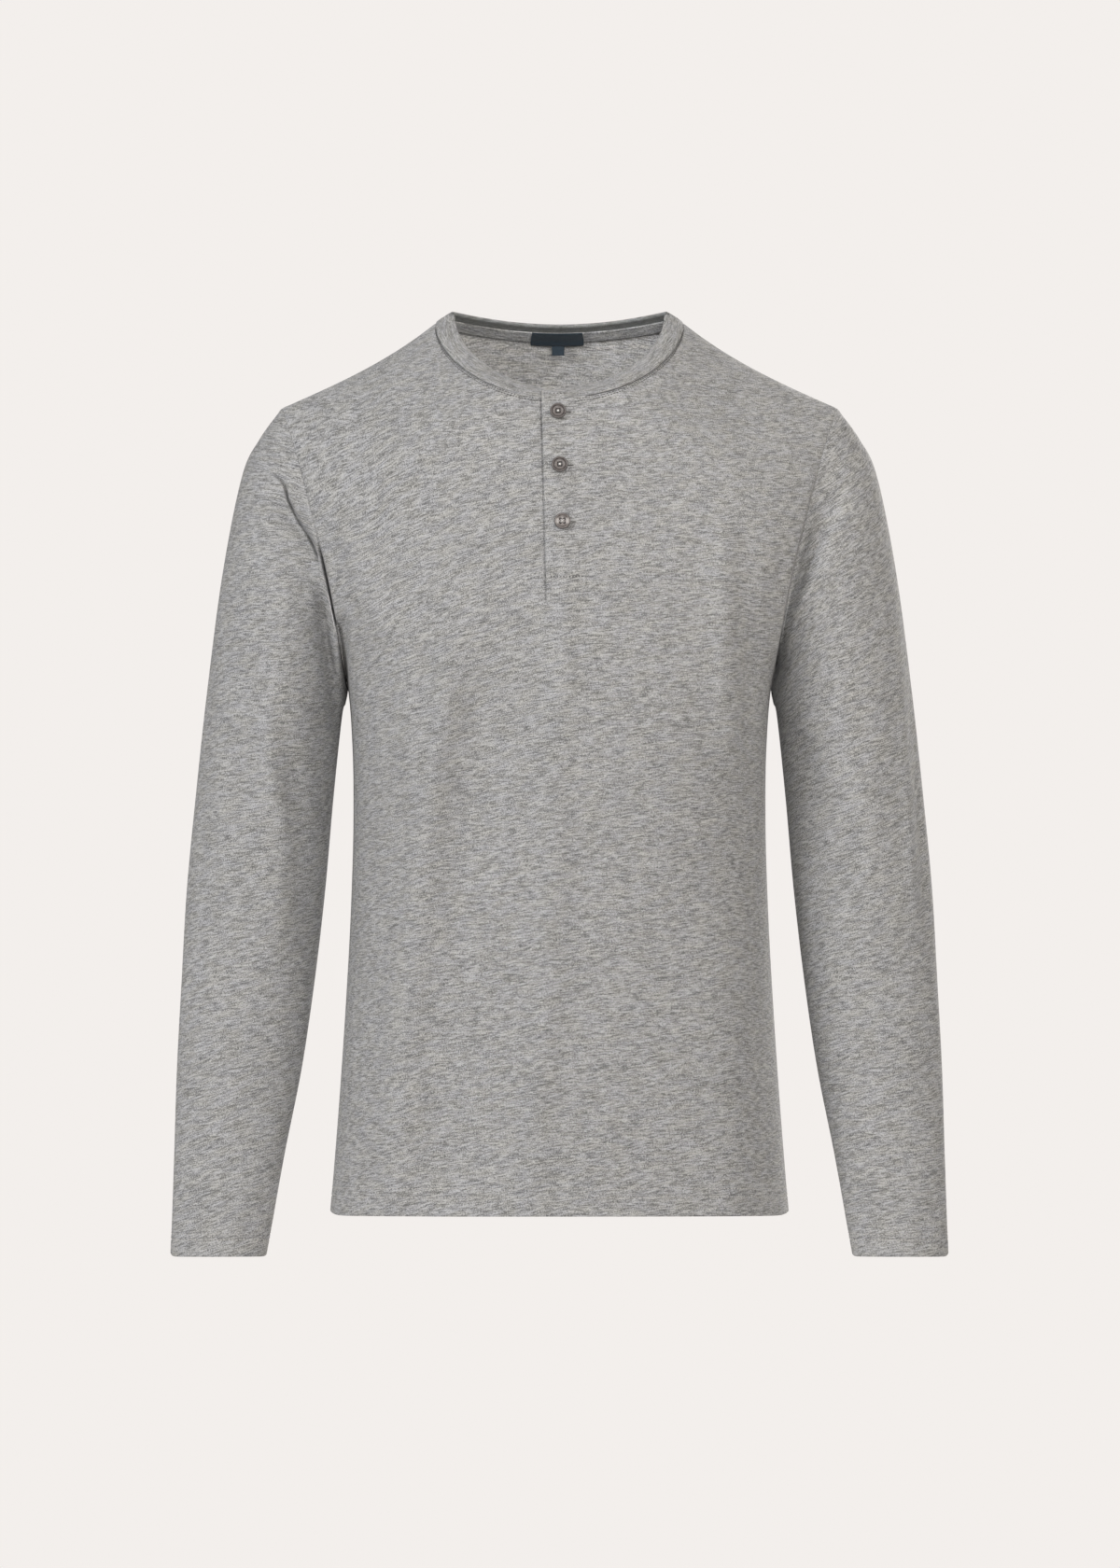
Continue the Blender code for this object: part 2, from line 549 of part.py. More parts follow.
def build_panels(surfaces, frame):
    """Front, back and both sleeves."""
    front, front_out, back, back_out, front_neck, back_neck, ring_out = surfaces
    shared = frame[3]
    front_count = front_neck.stop - front_neck.start
    front_out[-1, front_neck] = shared[:front_count]
    back_out[-1, back_neck] = np.vstack([shared[front_count - 1:], shared[:1]])
    half_gap = np.array([0.0, SEAM_GAP / 2, 0.0])

    cells = np.ones((front.shape[0] - 1, front.shape[1] - 1), bool)
    first = len(NECK_COLUMNS_FRONT + SIDE_COLUMNS) + 1
    last = first + len(PLACKET_COLUMNS) - 2
    slit_row = LOWER_ROW_COUNT + UPPER_ROWS.index(SLIT_BOTTOM_Z)
    cells[slit_row:, first:last] = False
    shifted = front - half_gap
    wall("front", "jersey", shifted, shifted - CLOTH * front_out, cells)
    shifted = back + half_gap
    wall("back", "jersey", shifted, shifted - CLOTH * back_out)

    across_ring = unit(np.array([SHOULDER_TIP[1] - UNDERARM_Z, 0.0,
                                 seam_x(UNDERARM_Z) - SHOULDER_TIP[0]]))
    for name, folds, side in (("sleeve_left", SLEEVE_LEFT_FRONT, 1.0),
                              ("sleeve_right", SLEEVE_RIGHT_FRONT, -1.0)):
        grid = sleeve_grid(folds)
        out = outward(grid, closed=True)
        out[0] = ring_out
        grid = grid + across_ring * SEAM_GAP * 1.5
        mirror = np.array([side, 1.0, 1.0])
        wall(name, "jersey", grid * mirror, (grid - CLOTH * out) * mirror, closed=True,
             mirrored=side < 0)


def build_neckband(frame):
    """The neckband: once round the neck from the placket's free edge, its ends lapped there."""
    seam, rise, band_out, shared = frame
    count = len(seam)
    start = len(NECK_COLUMNS_FRONT) + 1
    lap = len(PLACKET_COLUMNS) - 2
    path = (start + np.arange(count + lap + 1)) % count
    steps = np.arange(len(path))
    apart = (BAND_CLOTH + SEAM_GAP) / 2
    over = 1 - ease((steps - lap) / LAP_STEPS)
    under = 1 - ease((steps[-1] - lap - steps) / LAP_STEPS)
    offset = apart * (over - under)
    up = np.array(BAND_ROWS)
    bulge = BAND_SWELL * np.sin(pi * up)
    reach = BAND_FOOT + up * BAND_WIDTH
    out = np.repeat(band_out[path][None], len(up), axis=0)
    out[0] = shared[path]
    outer = (seam[path][None] + reach[:, None, None] * rise[path][None]
             + (offset[None, :, None] + bulge[:, None, None]) * out)
    wall("neckband", "rib", outer, outer - BAND_CLOTH * out)


def build_placket(front, front_out):
    """The two placket strips, made from the front's points."""
    first = len(NECK_COLUMNS_FRONT + SIDE_COLUMNS)
    columns = slice(first, first + len(PLACKET_COLUMNS))
    bottom_row = LOWER_ROW_COUNT + UPPER_ROWS.index(PLACKET_BOTTOM_Z)
    slit_row = LOWER_ROW_COUNT + UPPER_ROWS.index(SLIT_BOTTOM_Z)

    # Over strip: above the front at its free edge and its foot, level with it at its sewn edge.
    half_gap = np.array([0.0, SEAM_GAP / 2, 0.0])
    points_out = front[bottom_row:, columns] - half_gap
    out = front_out[bottom_row:, columns]
    points_out[:, -1, 0] -= STRIP_CLEAR
    lift = np.repeat(np.array(OVER_LIFTS)[None], len(points_out), axis=0)
    lift[:slit_row - bottom_row + 1] = STRIP_CLEAR
    points_out[-1, :, 2] -= STRIP_CLEAR
    inner = points_out + out * lift[..., None]
    wall("placket_over", "jersey", inner + out * CLOTH, inner)

    # Under strip: level with the front at its sewn edge, behind the over strip.
    columns = slice(first + 1, first + len(PLACKET_COLUMNS) - 1)
    points_out = front[slit_row:, columns] - half_gap
    out = front_out[slit_row:, columns]
    points_out[:, 0, 0] += STRIP_CLEAR
    points_out[0, :, 2] += STRIP_CLEAR
    points_out[-1, :, 2] -= STRIP_CLEAR
    lift = np.repeat(np.array(UNDER_LIFTS)[None], len(points_out), axis=0)
    lift[0] -= UNDER_FOOT_DROP
    outer = points_out + out * lift[..., None]
    wall("placket_under", "jersey", outer, outer - out * CLOTH)


def build_buttons():
    """Three four-hole buttons on the over strip, each facing out of it."""
    cutters = collection_named("cutters")
    rise = STRIP_CLEAR + CLOTH + BUTTON_CLEAR + BUTTON_THICKNESS / 2
    for index, height in enumerate(BUTTON_HEIGHTS, start=1):
        x = float(placket_line(np.array(height)) + BUTTON_OFFSET)
        heights = height + np.array([-BUTTON_RADIUS, 0.0, BUTTON_RADIUS])
        centre = points(x, -depth(FRONT, x, heights), heights)
        slope = unit(centre[2] - centre[0])
        normal = Vector((0.0, -slope[2], slope[1]))
        turn = normal.to_track_quat("Z", "Y").to_matrix().to_4x4()
        button(f"button_{index}", Matrix.Translation(Vector(centre[1]) + normal * rise) @ turn, cutters)


def button(name, where, cutters):
    """A turned button with a raised rim and four sewing holes."""
    profile = [(share * BUTTON_RADIUS, 0.0, rise * BUTTON_THICKNESS / 2) for share, rise in BUTTON_PROFILE]
    mesh = bpy.data.meshes.new(name)
    mesh.from_pydata(profile, [(k, k + 1) for k in range(len(profile) - 1)], [])
    item = place(mesh, name, "horn", smooth=False)
    screw = item.modifiers.new("turn", "SCREW")
    screw.steps = BUTTON_STEPS
    screw.render_steps = BUTTON_STEPS
    screw.use_merge_vertices = True
    screw.merge_threshold = 0.00001
    item.matrix_world = where

    holes = bmesh.new()
    for across, along in ((1, 1), (1, -1), (-1, 1), (-1, -1)):
        shift = Matrix.Translation((across * BUTTON_HOLE_OFFSET, along * BUTTON_HOLE_OFFSET, 0.0))
        bmesh.ops.create_cone(holes, cap_ends=True, segments=6, radius1=BUTTON_HOLE_RADIUS,
                              radius2=BUTTON_HOLE_RADIUS, depth=4 * BUTTON_THICKNESS, matrix=shift)
    cutter_mesh = bpy.data.meshes.new(f"{name}_holes")
    holes.to_mesh(cutter_mesh)
    holes.free()
    cutter = bpy.data.objects.new(f"{name}_holes", cutter_mesh)
    cutters.objects.link(cutter)
    cutter.hide_render = True
    cutter.display_type = "WIRE"
    cutter.matrix_world = where
    cut = item.modifiers.new("holes", "BOOLEAN")
    cut.operation = "DIFFERENCE"
    cut.solver = "EXACT"
    cut.object = cutter


def build_neck_tape(frame, back, back_neck):
    """The tape over the back neck seam, and the label and size tab sewn on it."""
    seam, rise, band_out, shared = frame
    first = len(seam) - (back_neck.stop - back_neck.start - 2)
    path = np.arange(first, len(seam))
    below = unit(back[-2, back_neck][1:-1] - back[-1, back_neck][1:-1])
    up_inner = seam[path] + rise[path] * TAPE_UP - band_out[path] * (BAND_CLOTH + BEHIND - TAPE_SWELL)
    on_seam = seam[path] - shared[path] * (BAND_CLOTH + BEHIND)
    panel_out = unit(np.cross(np.gradient(seam[path], axis=0), -below))
    down_inner = seam[path] + below * TAPE_DOWN - panel_out * (CLOTH + BEHIND)
    grid = np.stack([down_inner, on_seam, up_inner])
    out = np.stack([panel_out, shared[path], band_out[path]])
    wall("neck_tape", "tape", grid, grid - out * TAPE_CLOTH)

    # The label lies on the tape and reaches below it; the size tab hangs straight down from it.
    def read(values, x):
        """Values along the back neck, which runs from +X to -X, read at x."""
        order = slice(None, None, -1)
        return np.stack([np.interp(x, seam[path][order, 0], values[order, k]) for k in range(3)], axis=1)

    inside = BAND_CLOTH + BEHIND + TAPE_CLOTH + BEHIND
    x = np.linspace(LABEL_MIDDLE + LABEL_HALF_WIDTH, LABEL_MIDDLE - LABEL_HALF_WIDTH, 9)
    base = read(seam[path], x)
    down, up = read(below, x), read(rise[path], x)
    inward_panel, inward_band = read(panel_out, x), read(band_out[path], x)
    inward_seam = read(shared[path], x)
    grid = np.stack([base + down * LABEL_DOWN - inward_panel * inside,
                     base + down * TAPE_DOWN - inward_panel * inside,
                     base - inward_seam * inside,
                     base + up * LABEL_UP - inward_band * (inside - TAPE_SWELL)])
    out = np.stack([inward_panel, inward_panel, inward_seam, inward_band])
    wall("label", "navy", grid, grid - out * LABEL_CLOTH)

    x = np.linspace(TAB_MIDDLE + TAB_HALF_WIDTH, TAB_MIDDLE - TAB_HALF_WIDTH, 3)
    top = read(seam[path], x) + read(below, x) * LABEL_DOWN - read(panel_out, x) * inside
    drop = np.array([TAB_LENGTH, 0.0])[:, None, None] + SEAM_GAP * 2.5
    grid = top[None] - drop * np.array([0.0, 0.0, 1.0])
    back_face = np.array([0.0, 1.0, 0.0])
    wall("size_tab", "navy", grid, grid - back_face * LABEL_CLOTH)


def main():
    clear_scene()
    surfaces = shirt_surfaces()
    front, front_out, back, back_out, front_neck, back_neck, _ = surfaces
    frame = neckband_frame(front, front_out, back, back_out, front_neck, back_neck)
    build_panels(surfaces, frame)
    build_neckband(frame)
    build_placket(front, front_out)
    build_buttons()
    build_neck_tape(frame, back, back_neck)


main()
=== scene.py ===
"""Henley shirt: its cloth, stitching, buttons and studio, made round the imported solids.

Metres, +Z up. The front faces -Y and the wearer's left is +X. Every cloth piece is a
fine grid worked out from the same rings, sections and folds as the solids, and carries
a UV map in metres of cloth, which its heather pattern follows. "Front view" means the x
and z of a point alone.
"""

from collections import namedtuple
from functools import cache
from math import pi, radians

import bpy
import numpy as np
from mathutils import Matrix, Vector


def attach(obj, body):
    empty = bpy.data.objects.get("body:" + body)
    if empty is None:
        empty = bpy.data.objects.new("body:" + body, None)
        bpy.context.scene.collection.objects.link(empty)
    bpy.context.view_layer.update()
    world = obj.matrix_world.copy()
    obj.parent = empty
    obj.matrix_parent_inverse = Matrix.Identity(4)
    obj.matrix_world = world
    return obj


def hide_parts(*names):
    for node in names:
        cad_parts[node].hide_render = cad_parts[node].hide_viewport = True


bl_info = {
    "name": "Henley Shirt",
    "version": (1, 0, 0),
    "blender": (4, 5, 0),
    "location": "3D View > Sidebar > Henley",
    "description": "Cloth, stitching, buttons and studio of a long-sleeved henley shirt",
    "category": "Add Mesh",
}

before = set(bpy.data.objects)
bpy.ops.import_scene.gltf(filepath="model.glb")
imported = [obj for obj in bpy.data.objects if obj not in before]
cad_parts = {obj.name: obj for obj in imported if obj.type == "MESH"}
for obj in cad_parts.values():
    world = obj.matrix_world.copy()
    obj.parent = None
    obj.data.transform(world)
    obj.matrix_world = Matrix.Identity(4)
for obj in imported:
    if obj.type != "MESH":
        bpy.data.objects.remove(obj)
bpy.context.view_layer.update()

# ---------------------------------------------------------------- sizes shared with the solids
CLOTH = 0.0015
BAND_CLOTH = 0.0020
NECK_HALF_WIDTH = 0.0978                   # collar seam at the shoulder
NECK_DROP_FRONT = 0.0595
NECK_DROP_BACK = 0.0110
NECK_RISE = 0.050                          # how far the shoulder line goes on rising inside the neck
NECK_STEEPNESS = 1.44                      # its slope at the collar seam, as a share of the shoulder's
SHOULDER_TIP = (0.2183, -0.0669)
SHOULDER_BOW = (0.19, 0.25)                # how far the shoulder seam bows down, along it and near the neck
SHOULDER_BLEND = 0.06                      # |x| from which the neck's closing turns into the tip's
UNDERARM_Z = -0.2903
HEM_Z = -0.702
BAND_WIDTH = 0.016
BAND_LIFTS = (33.0, 30.0, 38.0)            # degrees that the band rises from level: front, sides, back
NECK_U = 0.4                               # grid coordinate of the shoulder seam's neck end
ARMHOLE_BLEND = 2.2                        # section at which the sleeve has left the armhole's shape
CUFF_ROW = 9.6                             # section from which the cuff's corners are rounded
PLACKET_HALF_WIDTH = 0.0158
PLACKET_LEAN = (0.0019, 0.0060)            # centre line's x at its top and at its bottom
PLACKET_BOTTOM_Z = -0.221
SLIT_BOTTOM_Z = -0.200
SLIT_EDGES = (-0.011, 0.0155)              # the opening in the front, from the centre line
BUTTON_RADIUS = 0.00635
BUTTON_THICKNESS = 0.0026
BUTTON_CLEAR = 0.0005                      # under a button, where its thread shank is

Ring = namedtuple("Ring", "height half_width front_depth back_depth roundness")
TORSO = (
    Ring(-0.7020, 0.1804, 0.1215, 0.1120, 2.4),
    Ring(-0.6200, 0.1738, 0.1230, 0.1090, 2.4),
    Ring(-0.5400, 0.1683, 0.1245, 0.1070, 2.4),
    Ring(-0.4600, 0.1640, 0.1260, 0.1055, 2.4),
    Ring(-0.3900, 0.1621, 0.1275, 0.1070, 2.5),
    Ring(-0.3350, 0.1628, 0.1285, 0.1120, 2.7),
    Ring(-0.2903, 0.1661, 0.1280, 0.1170, 2.8),
    Ring(-0.2500, 0.1732, 0.1250, 0.1200, 2.6),
    Ring(-0.2000, 0.1830, 0.1180, 0.1200, 2.4),
    Ring(-0.1500, 0.1948, 0.1070, 0.1140, 2.4),
    Ring(-0.1000, 0.2078, 0.0920, 0.1010, 2.4),
    Ring(-0.0669, 0.2183, 0.0800, 0.0880, 2.4),
    Ring(0.0000, 0.2400, 0.0580, 0.0540, 2.4),
    Ring(0.0300, 0.2500, 0.0500, 0.0420, 2.4),
)
Side = namedtuple("Side", "sign depth_column armhole reach exponent neck_drop neck_curve")
FRONT = Side(-1, "front_depth", 0.58, (0.085, 0.112), (1.3, 2.0), NECK_DROP_FRONT, 1.1)
BACK = Side(1, "back_depth", 0.53, (0.085, 0.112), (1.6, 2.0), NECK_DROP_BACK, 2.2)

Section = namedtuple("Section", "outer_x outer_z inner_x inner_z middle half_depth")
SLEEVE = (
    Section(0.2183, -0.0669, 0.1661, -0.2903, 0.0000, 0.0640),
    Section(0.2359, -0.0911, 0.1668, -0.2925, 0.0000, 0.0620),
    Section(0.2499, -0.1205, 0.1673, -0.2950, 0.0000, 0.0610),
    Section(0.2653, -0.1977, 0.1684, -0.3000, 0.0000, 0.0600),
    Section(0.2778, -0.2933, 0.1712, -0.3110, 0.0000, 0.0580),
    Section(0.2866, -0.3749, 0.1779, -0.3749, -0.0020, 0.0525),
    Section(0.2933, -0.4454, 0.1841, -0.4454, -0.0060, 0.0455),
    Section(0.2973, -0.5160, 0.1922, -0.5160, -0.0120, 0.0375),
    Section(0.3010, -0.5865, 0.2025, -0.5865, -0.0180, 0.0315),
    Section(0.3032, -0.6571, 0.2165, -0.6571, -0.0240, 0.0270),
    Section(0.3058, -0.7343, 0.2301, -0.7343, -0.0290, 0.0240),
)

# Folds as straight or bowed lines in the front view: height is raised if positive and
# sunk if negative, width is the half width of the swell, bow moves the line's middle. The
# front's are up to 4 mm deeper than in its solid.
Fold = namedtuple("Fold", "x_top z_top x_bottom z_bottom bow width height")
FRONT_FOLDS = (
    Fold(-0.080, -0.225, -0.136, -0.720, -0.009, 0.016, 0.0075),
    Fold(-0.052, -0.225, -0.102, -0.740, -0.004, 0.021, -0.0075),
    Fold(-0.030, -0.235, -0.076, -0.740, 0.000, 0.034, -0.0060),
    Fold(0.003, -0.190, -0.027, -0.760, 0.003, 0.013, 0.0050),
    Fold(-0.118, -0.225, -0.119, -0.370, 0.000, 0.009, 0.0040),
    Fold(-0.103, -0.245, -0.106, -0.345, 0.000, 0.007, -0.0035),
    Fold(-0.150, -0.250, -0.156, -0.440, 0.000, 0.010, -0.0030),
    Fold(-0.166, -0.165, -0.138, -0.255, 0.000, 0.015, 0.0060),
    Fold(0.128, -0.150, 0.136, -0.360, 0.000, 0.012, 0.0060),
    Fold(0.147, -0.205, 0.163, -0.470, 0.000, 0.010, -0.0075),
    Fold(0.132, -0.430, 0.142, -0.740, 0.000, 0.024, 0.0060),
    Fold(0.165, -0.170, 0.150, -0.250, 0.000, 0.012, 0.0030),
)
BACK_FOLDS = (
    Fold(-0.120, -0.190, -0.095, -0.520, 0.010, 0.018, -0.0050),
    Fold(-0.085, -0.230, -0.070, -0.640, 0.008, 0.020, 0.0045),
    Fold(0.110, -0.180, 0.080, -0.560, -0.010, 0.018, -0.0050),
    Fold(0.060, -0.260, 0.055, -0.680, 0.000, 0.022, 0.0045),
    Fold(-0.010, -0.330, 0.006, -0.650, 0.008, 0.020, -0.0040),
    Fold(-0.160, -0.230, -0.130, -0.330, 0.000, 0.012, 0.0035),
    Fold(0.160, -0.230, 0.135, -0.340, 0.000, 0.012, 0.0035),
)
SLEEVE_RIGHT_FRONT = (
    Fold(0.226, -0.125, 0.173, -0.268, -0.008, 0.013, -0.0070),
    Fold(0.262, -0.255, 0.258, -0.480, 0.008, 0.012, 0.0030),
    Fold(0.250, -0.310, 0.250, -0.430, 0.000, 0.011, -0.0030),
    Fold(0.236, -0.300, 0.206, -0.445, 0.000, 0.010, 0.0035),
    Fold(0.214, -0.325, 0.198, -0.500, 0.000, 0.010, -0.0035),
    Fold(0.282, -0.520, 0.262, -0.640, 0.000, 0.014, 0.0020),
)
SLEEVE_LEFT_FRONT = (
    Fold(0.222, -0.122, 0.174, -0.268, -0.008, 0.013, -0.0070),
    Fold(0.268, -0.215, 0.284, -0.440, 0.000, 0.009, 0.0025),
    Fold(0.193, -0.320, 0.203, -0.470, 0.000, 0.012, -0.0035),
    Fold(0.216, -0.360, 0.222, -0.470, 0.000, 0.013, -0.0030),
    Fold(0.240, -0.340, 0.236, -0.520, 0.006, 0.012, 0.0025),
    Fold(0.262, -0.540, 0.280, -0.640, 0.000, 0.014, 0.0020),
)
SLEEVE_BACK = (
    Fold(0.222, -0.130, 0.176, -0.262, -0.008, 0.014, -0.0060),
    Fold(0.262, -0.300, 0.210, -0.420, 0.000, 0.012, 0.0035),
    Fold(0.278, -0.390, 0.218, -0.480, 0.000, 0.010, -0.0035),
    Fold(0.280, -0.450, 0.226, -0.540, 0.000, 0.012, 0.0030),
)
TAPE_UP = 0.0090
TAPE_DOWN = 0.0035
TAPE_CLOTH = 0.0008
LABEL_CLOTH = 0.0006
LABEL_HALF_WIDTH = 0.0213
LABEL_MIDDLE = -0.0018
LABEL_UP = 0.0100
LABEL_DOWN = 0.0056
TAB_HALF_WIDTH = 0.0051
TAB_MIDDLE = -0.0011
TAB_LENGTH = 0.0073
STRIP_CLEAR = 0.00035
BEHIND = 0.0004                            # between one layer at the back neck and the next

# ---------------------------------------------------------------- finer form, scene only
SEAM_GAP = 0.00012                         # narrower than the solids', which need room
HALF_GAP = np.array([0.0, SEAM_GAP / 2, 0.0])
HEM_CORNER_RISE = 0.003
HEM_CORNER_HEIGHT = 0.03
HEM_CORNER_POWER = 60                      # how near the side seam the rounding starts
CUFF_CORNER_RISE = 0.0025
CUFF_CORNER_POWER = 40
FOLD_ENDS = (0.25, 0.2)                    # share of a fold over which it fades, and how soon
FOLD_SIDE_FADE = (0.86, 0.12)              # share of the half width where folds fade, and over what
FOLD_NECK_FADE = 0.05                      # height below the collar seam over which they fade
# Creases that the solids don't carry, in the same terms.
FRONT_CREASES = (
    Fold(-0.2050, -0.125, -0.163, -0.215, -0.004, 0.006, -0.0012),
    Fold(-0.1480, -0.215, -0.120, -0.330, 0.004, 0.006, 0.0012),
    Fold(0.1800, -0.130, 0.150, -0.215, 0.003, 0.007, -0.0010),
    Fold(0.1480, -0.235, 0.133, -0.345, 0.000, 0.007, 0.0012),
)
BACK_CREASES = (
    Fold(-0.140, -0.200, -0.115, -0.300, 0.004, 0.007, -0.0012),
    Fold(0.142, -0.205, 0.112, -0.310, -0.004, 0.007, -0.0012),
    Fold(-0.030, -0.380, -0.040, -0.560, 0.004, 0.010, 0.0012),
)
SLEEVE_RIGHT_CREASES = (
    Fold(0.1880, -0.205, 0.1740, -0.330, 0.000, 0.0050, -0.0100),
    Fold(0.2200, -0.140, 0.1915, -0.180, 0.000, 0.0060, -0.0046),
    Fold(0.2450, -0.405, 0.2060, -0.470, 0.000, 0.0060, 0.0016),
    Fold(0.2480, -0.350, 0.2000, -0.430, 0.004, 0.0070, -0.0018),
    Fold(0.2220, -0.150, 0.2260, -0.560, 0.000, 0.0300, 0.0060),
)
SLEEVE_LEFT_CREASES = (
    Fold(0.2640, -0.195, 0.2820, -0.480, 0.000, 0.0045, 0.0020),
    Fold(0.2705, -0.195, 0.2885, -0.480, 0.000, 0.0042, -0.0080),
    Fold(0.2240, -0.108, 0.1980, -0.134, -0.003, 0.0060, -0.0028),
    Fold(0.2150, -0.150, 0.1840, -0.215, 0.000, 0.0060, -0.0020),
    Fold(0.2100, -0.190, 0.1800, -0.235, 0.000, 0.0050, 0.0016),
    Fold(0.2400, -0.395, 0.1980, -0.455, 0.003, 0.0070, -0.0018),
    Fold(0.2460, -0.425, 0.2040, -0.490, 0.000, 0.0060, 0.0016),
)
# The right sleeve's tuck under the shoulder, down to the armhole seam, as heights and x. Then
# its depth, half width and lip, and how far the cloth beside it is drawn in.
TUCK_LINE = ((-0.1080, 0.2400), (-0.1154, 0.2334), (-0.1220, 0.2216), (-0.1404, 0.2128),
             (-0.1566, 0.2047), (-0.1690, 0.1966), (-0.1896, 0.1878))
TUCK = (0.0044, 0.0012, 0.0016)
TUCK_REACH = 0.009
# How deep the armhole seams sink in front, by side.
Sink = namedtuple("Sink", "top over deep sleeve_reach")
SINK = {1: Sink(-0.108, 0.080, 0.0170, 0.0125), -1: Sink(-0.166, 0.024, 0.0100, 0.0026)}
SINK_BODY_REACH = 0.0011
# The body's hollow beside the right armpit.
Hollow = namedtuple("Hollow", "deep reach top edge falloff")
HOLLOW = Hollow(0.015, 0.0120, -0.226, 0.0025, 0.009)
BOX_TOP = 0.0214                           # of the placket's stitched box, above its foot
HEM_STITCH_ROWS = (-0.6806, -0.6872)
CUFF_STITCH_ROWS = (-0.7166, -0.7210)
COLLAR_STITCH_ROWS = (0.0016, 0.0037)      # below the collar seam
SEAM_SWELL = (0.00016, 0.0032, 0.0022)     # beside a seam: its height, distance and half width
SEAM_DIP = (0.00028, 0.0010)               # at a seam: its depth and half width
COLLAR_GROOVE = (0.0007, 0.0008)
# The groove beside the placket's free edge: place, depth, more near its top, and half width.
STRIP_GROOVE = (-0.01640, 0.0009, 0.0004, 0.00040)
PLY = 0.00095                              # one of a hem's two plies
PLY_STEP = (0.00018, 0.0008)               # how far the doubled cloth stands up, and over what
ALLOWANCE = (0.0007, 0.0030, 0.0055)       # how far a seam's edges turn in
HEM_TOP = -0.6790                          # where a hem's inner ply ends
CUFF_TOP = -0.7130
SLEEVE_COLUMNS = (54, 96)                  # round a sleeve's back and its front
STRIP_PLY = 0.00075
UNDER_STRIP_WALL = 0.0010
STRIP_HALF = 0.00070                       # half the folded strip's thickness
STRIP_TOP = 0.0080                         # how far the strip runs up on the neckband
STRIP_CORNER = 0.0032                      # radius of its top corner
BAND_LAP = 12                              # columns over which the neckband's ends overlap
BAND_START = -0.0055                       # where its upper end starts, from the placket's line
BAND_NOTCH = 0.0050                        # how far it dips where its ends cross
BAND_NOTCH_REACH = 0.034
BAND_TAPER = 0.060                         # length over which an end leaves the other's face
BAND_ENDS = (0.00068, 0.00085)             # how far its upper end stands out there, and its lower end in
BAND_WALL = 0.0008
BAND_ROLL = 0.0009                         # how far its outer face swells

# Stitches: from one to the next, and each thread's length, radius and arch.
Stitch = namedtuple("Stitch", "pitch length radius arch")
COLLAR_STITCH = Stitch(0.0024, 0.0015, 0.00034, 0.00014)
BOX_TOP_STITCH = Stitch(0.0023, 0.0012, 0.00042, 0.00020)
STRIP_TOP_STITCH = Stitch(0.0026, 0.0015, 0.00028, 0.00010)
BOX_STITCH = Stitch(0.0026, 0.0018, 0.00022, 0.00006)
CORNER_STITCH = Stitch(0.0014, 0.0013, 0.00030, 0.00004)
# Painted shade: a solid dark line of thread along a buttonhole's slit, for the shade in it.
SLOT_SHADE_LINE = Stitch(0.0046, 0.0046, 0.00036, 0.00008)
SLOT_SIDE_STITCH = Stitch(0.00045, 0.0004, 0.00018, 0.00008)
HEM_THREAD = (0.55, 0.00030, 0.00016)      # length as a share of the pitch, radius and arch

# Buttons: offset from the placket's line, height, finish, how far the holes lie from the middle
# along x and y, the holes' radius and their thread's.
Button = namedtuple("Button", "offset height finish apart hole thread")
BUTTONS = (
    Button(-0.0033, -0.0711, "horn_button", 0.00090, 0.00100, 0.00052),
    Button(-0.0030, -0.1130, "horn_button", 0.00090, 0.00100, 0.00052),
    Button(-0.0021, -0.1574, "pearl_button", 0.00155, 0.00072, 0.00024),
)
Lamp = namedtuple("Lamp", "name place colour size share")
LAMPS = (
    Lamp("key_light", (-2.8, -2.4, 1.3), (1.00, 0.995, 1.00), 1.4, 0.71),
    Lamp("front_light", (0.6, -3.5, 0.8), (1.00, 0.98, 0.96), 1.4, 0.40),
    Lamp("warm_light", (0.95, -0.75, 0.42), (1.00, 0.92, 0.82), 0.6, 0.036),
    Lamp("back_light", (1.4, 3.2, 1.2), (1.00, 0.98, 0.96), 1.8, 0.95),
)
SHIRT_MIDDLE = Vector((0.0004, 0.0, -0.363))
FRAME_HEIGHT = 1680 * 0.000735             # rows of the render, and metres in each
UV = "pattern"


# ---------------------------------------------------------------- small tools
def column(table, name):
    """One named column of a table, as an array."""
    return np.array([getattr(row, name) for row in table])


def through(knots, values, at):
    """Smooth curve through a table's rows, cubic between them, level beyond its ends."""
    order = np.argsort(knots)
    knots = np.asarray(knots, float)[order]
    values = np.asarray(values, float)[order]
    slopes = np.gradient(values, knots)
    at = np.clip(at, knots[0], knots[-1])
    left = np.clip(np.searchsorted(knots, at, side="right") - 1, 0, len(knots) - 2)
    step = knots[left + 1] - knots[left]
    t = (at - knots[left]) / step
    return ((2 * t**3 - 3 * t**2 + 1) * values[left] + (3 * t**2 - 2 * t**3) * values[left + 1]
            + step * ((t**3 - 2 * t**2 + t) * slopes[left] + (t**3 - t**2) * slopes[left + 1]))


def ease(t):
    """0 to 1 with level ends: 3t^2 - 2t^3."""
    t = np.clip(t, 0.0, 1.0)
    return t * t * (3 - 2 * t)


def bell(distance, width):
    """1 at 0 and falling off as a Gauss curve of that half width."""
    return np.exp(-((distance / width) ** 2))


def unit(vectors):
    """Vectors at length 1."""
    length = np.linalg.norm(vectors, axis=-1, keepdims=True)
    return vectors / np.maximum(length, 1e-12)


def points(x, y, z):
    """x, y and z arrays as one array of points."""
    return np.stack(np.broadcast_arrays(x, y, z), axis=-1)


def outward(grid, closed=False):
    """Unit normals of a grid whose columns step right as seen from outside and rows step up."""
    if closed:
        across = np.roll(grid, -1, axis=1) - np.roll(grid, 1, axis=1)
    else:
        across = np.gradient(grid, axis=1)
    return unit(np.cross(across, np.gradient(grid, axis=0)))


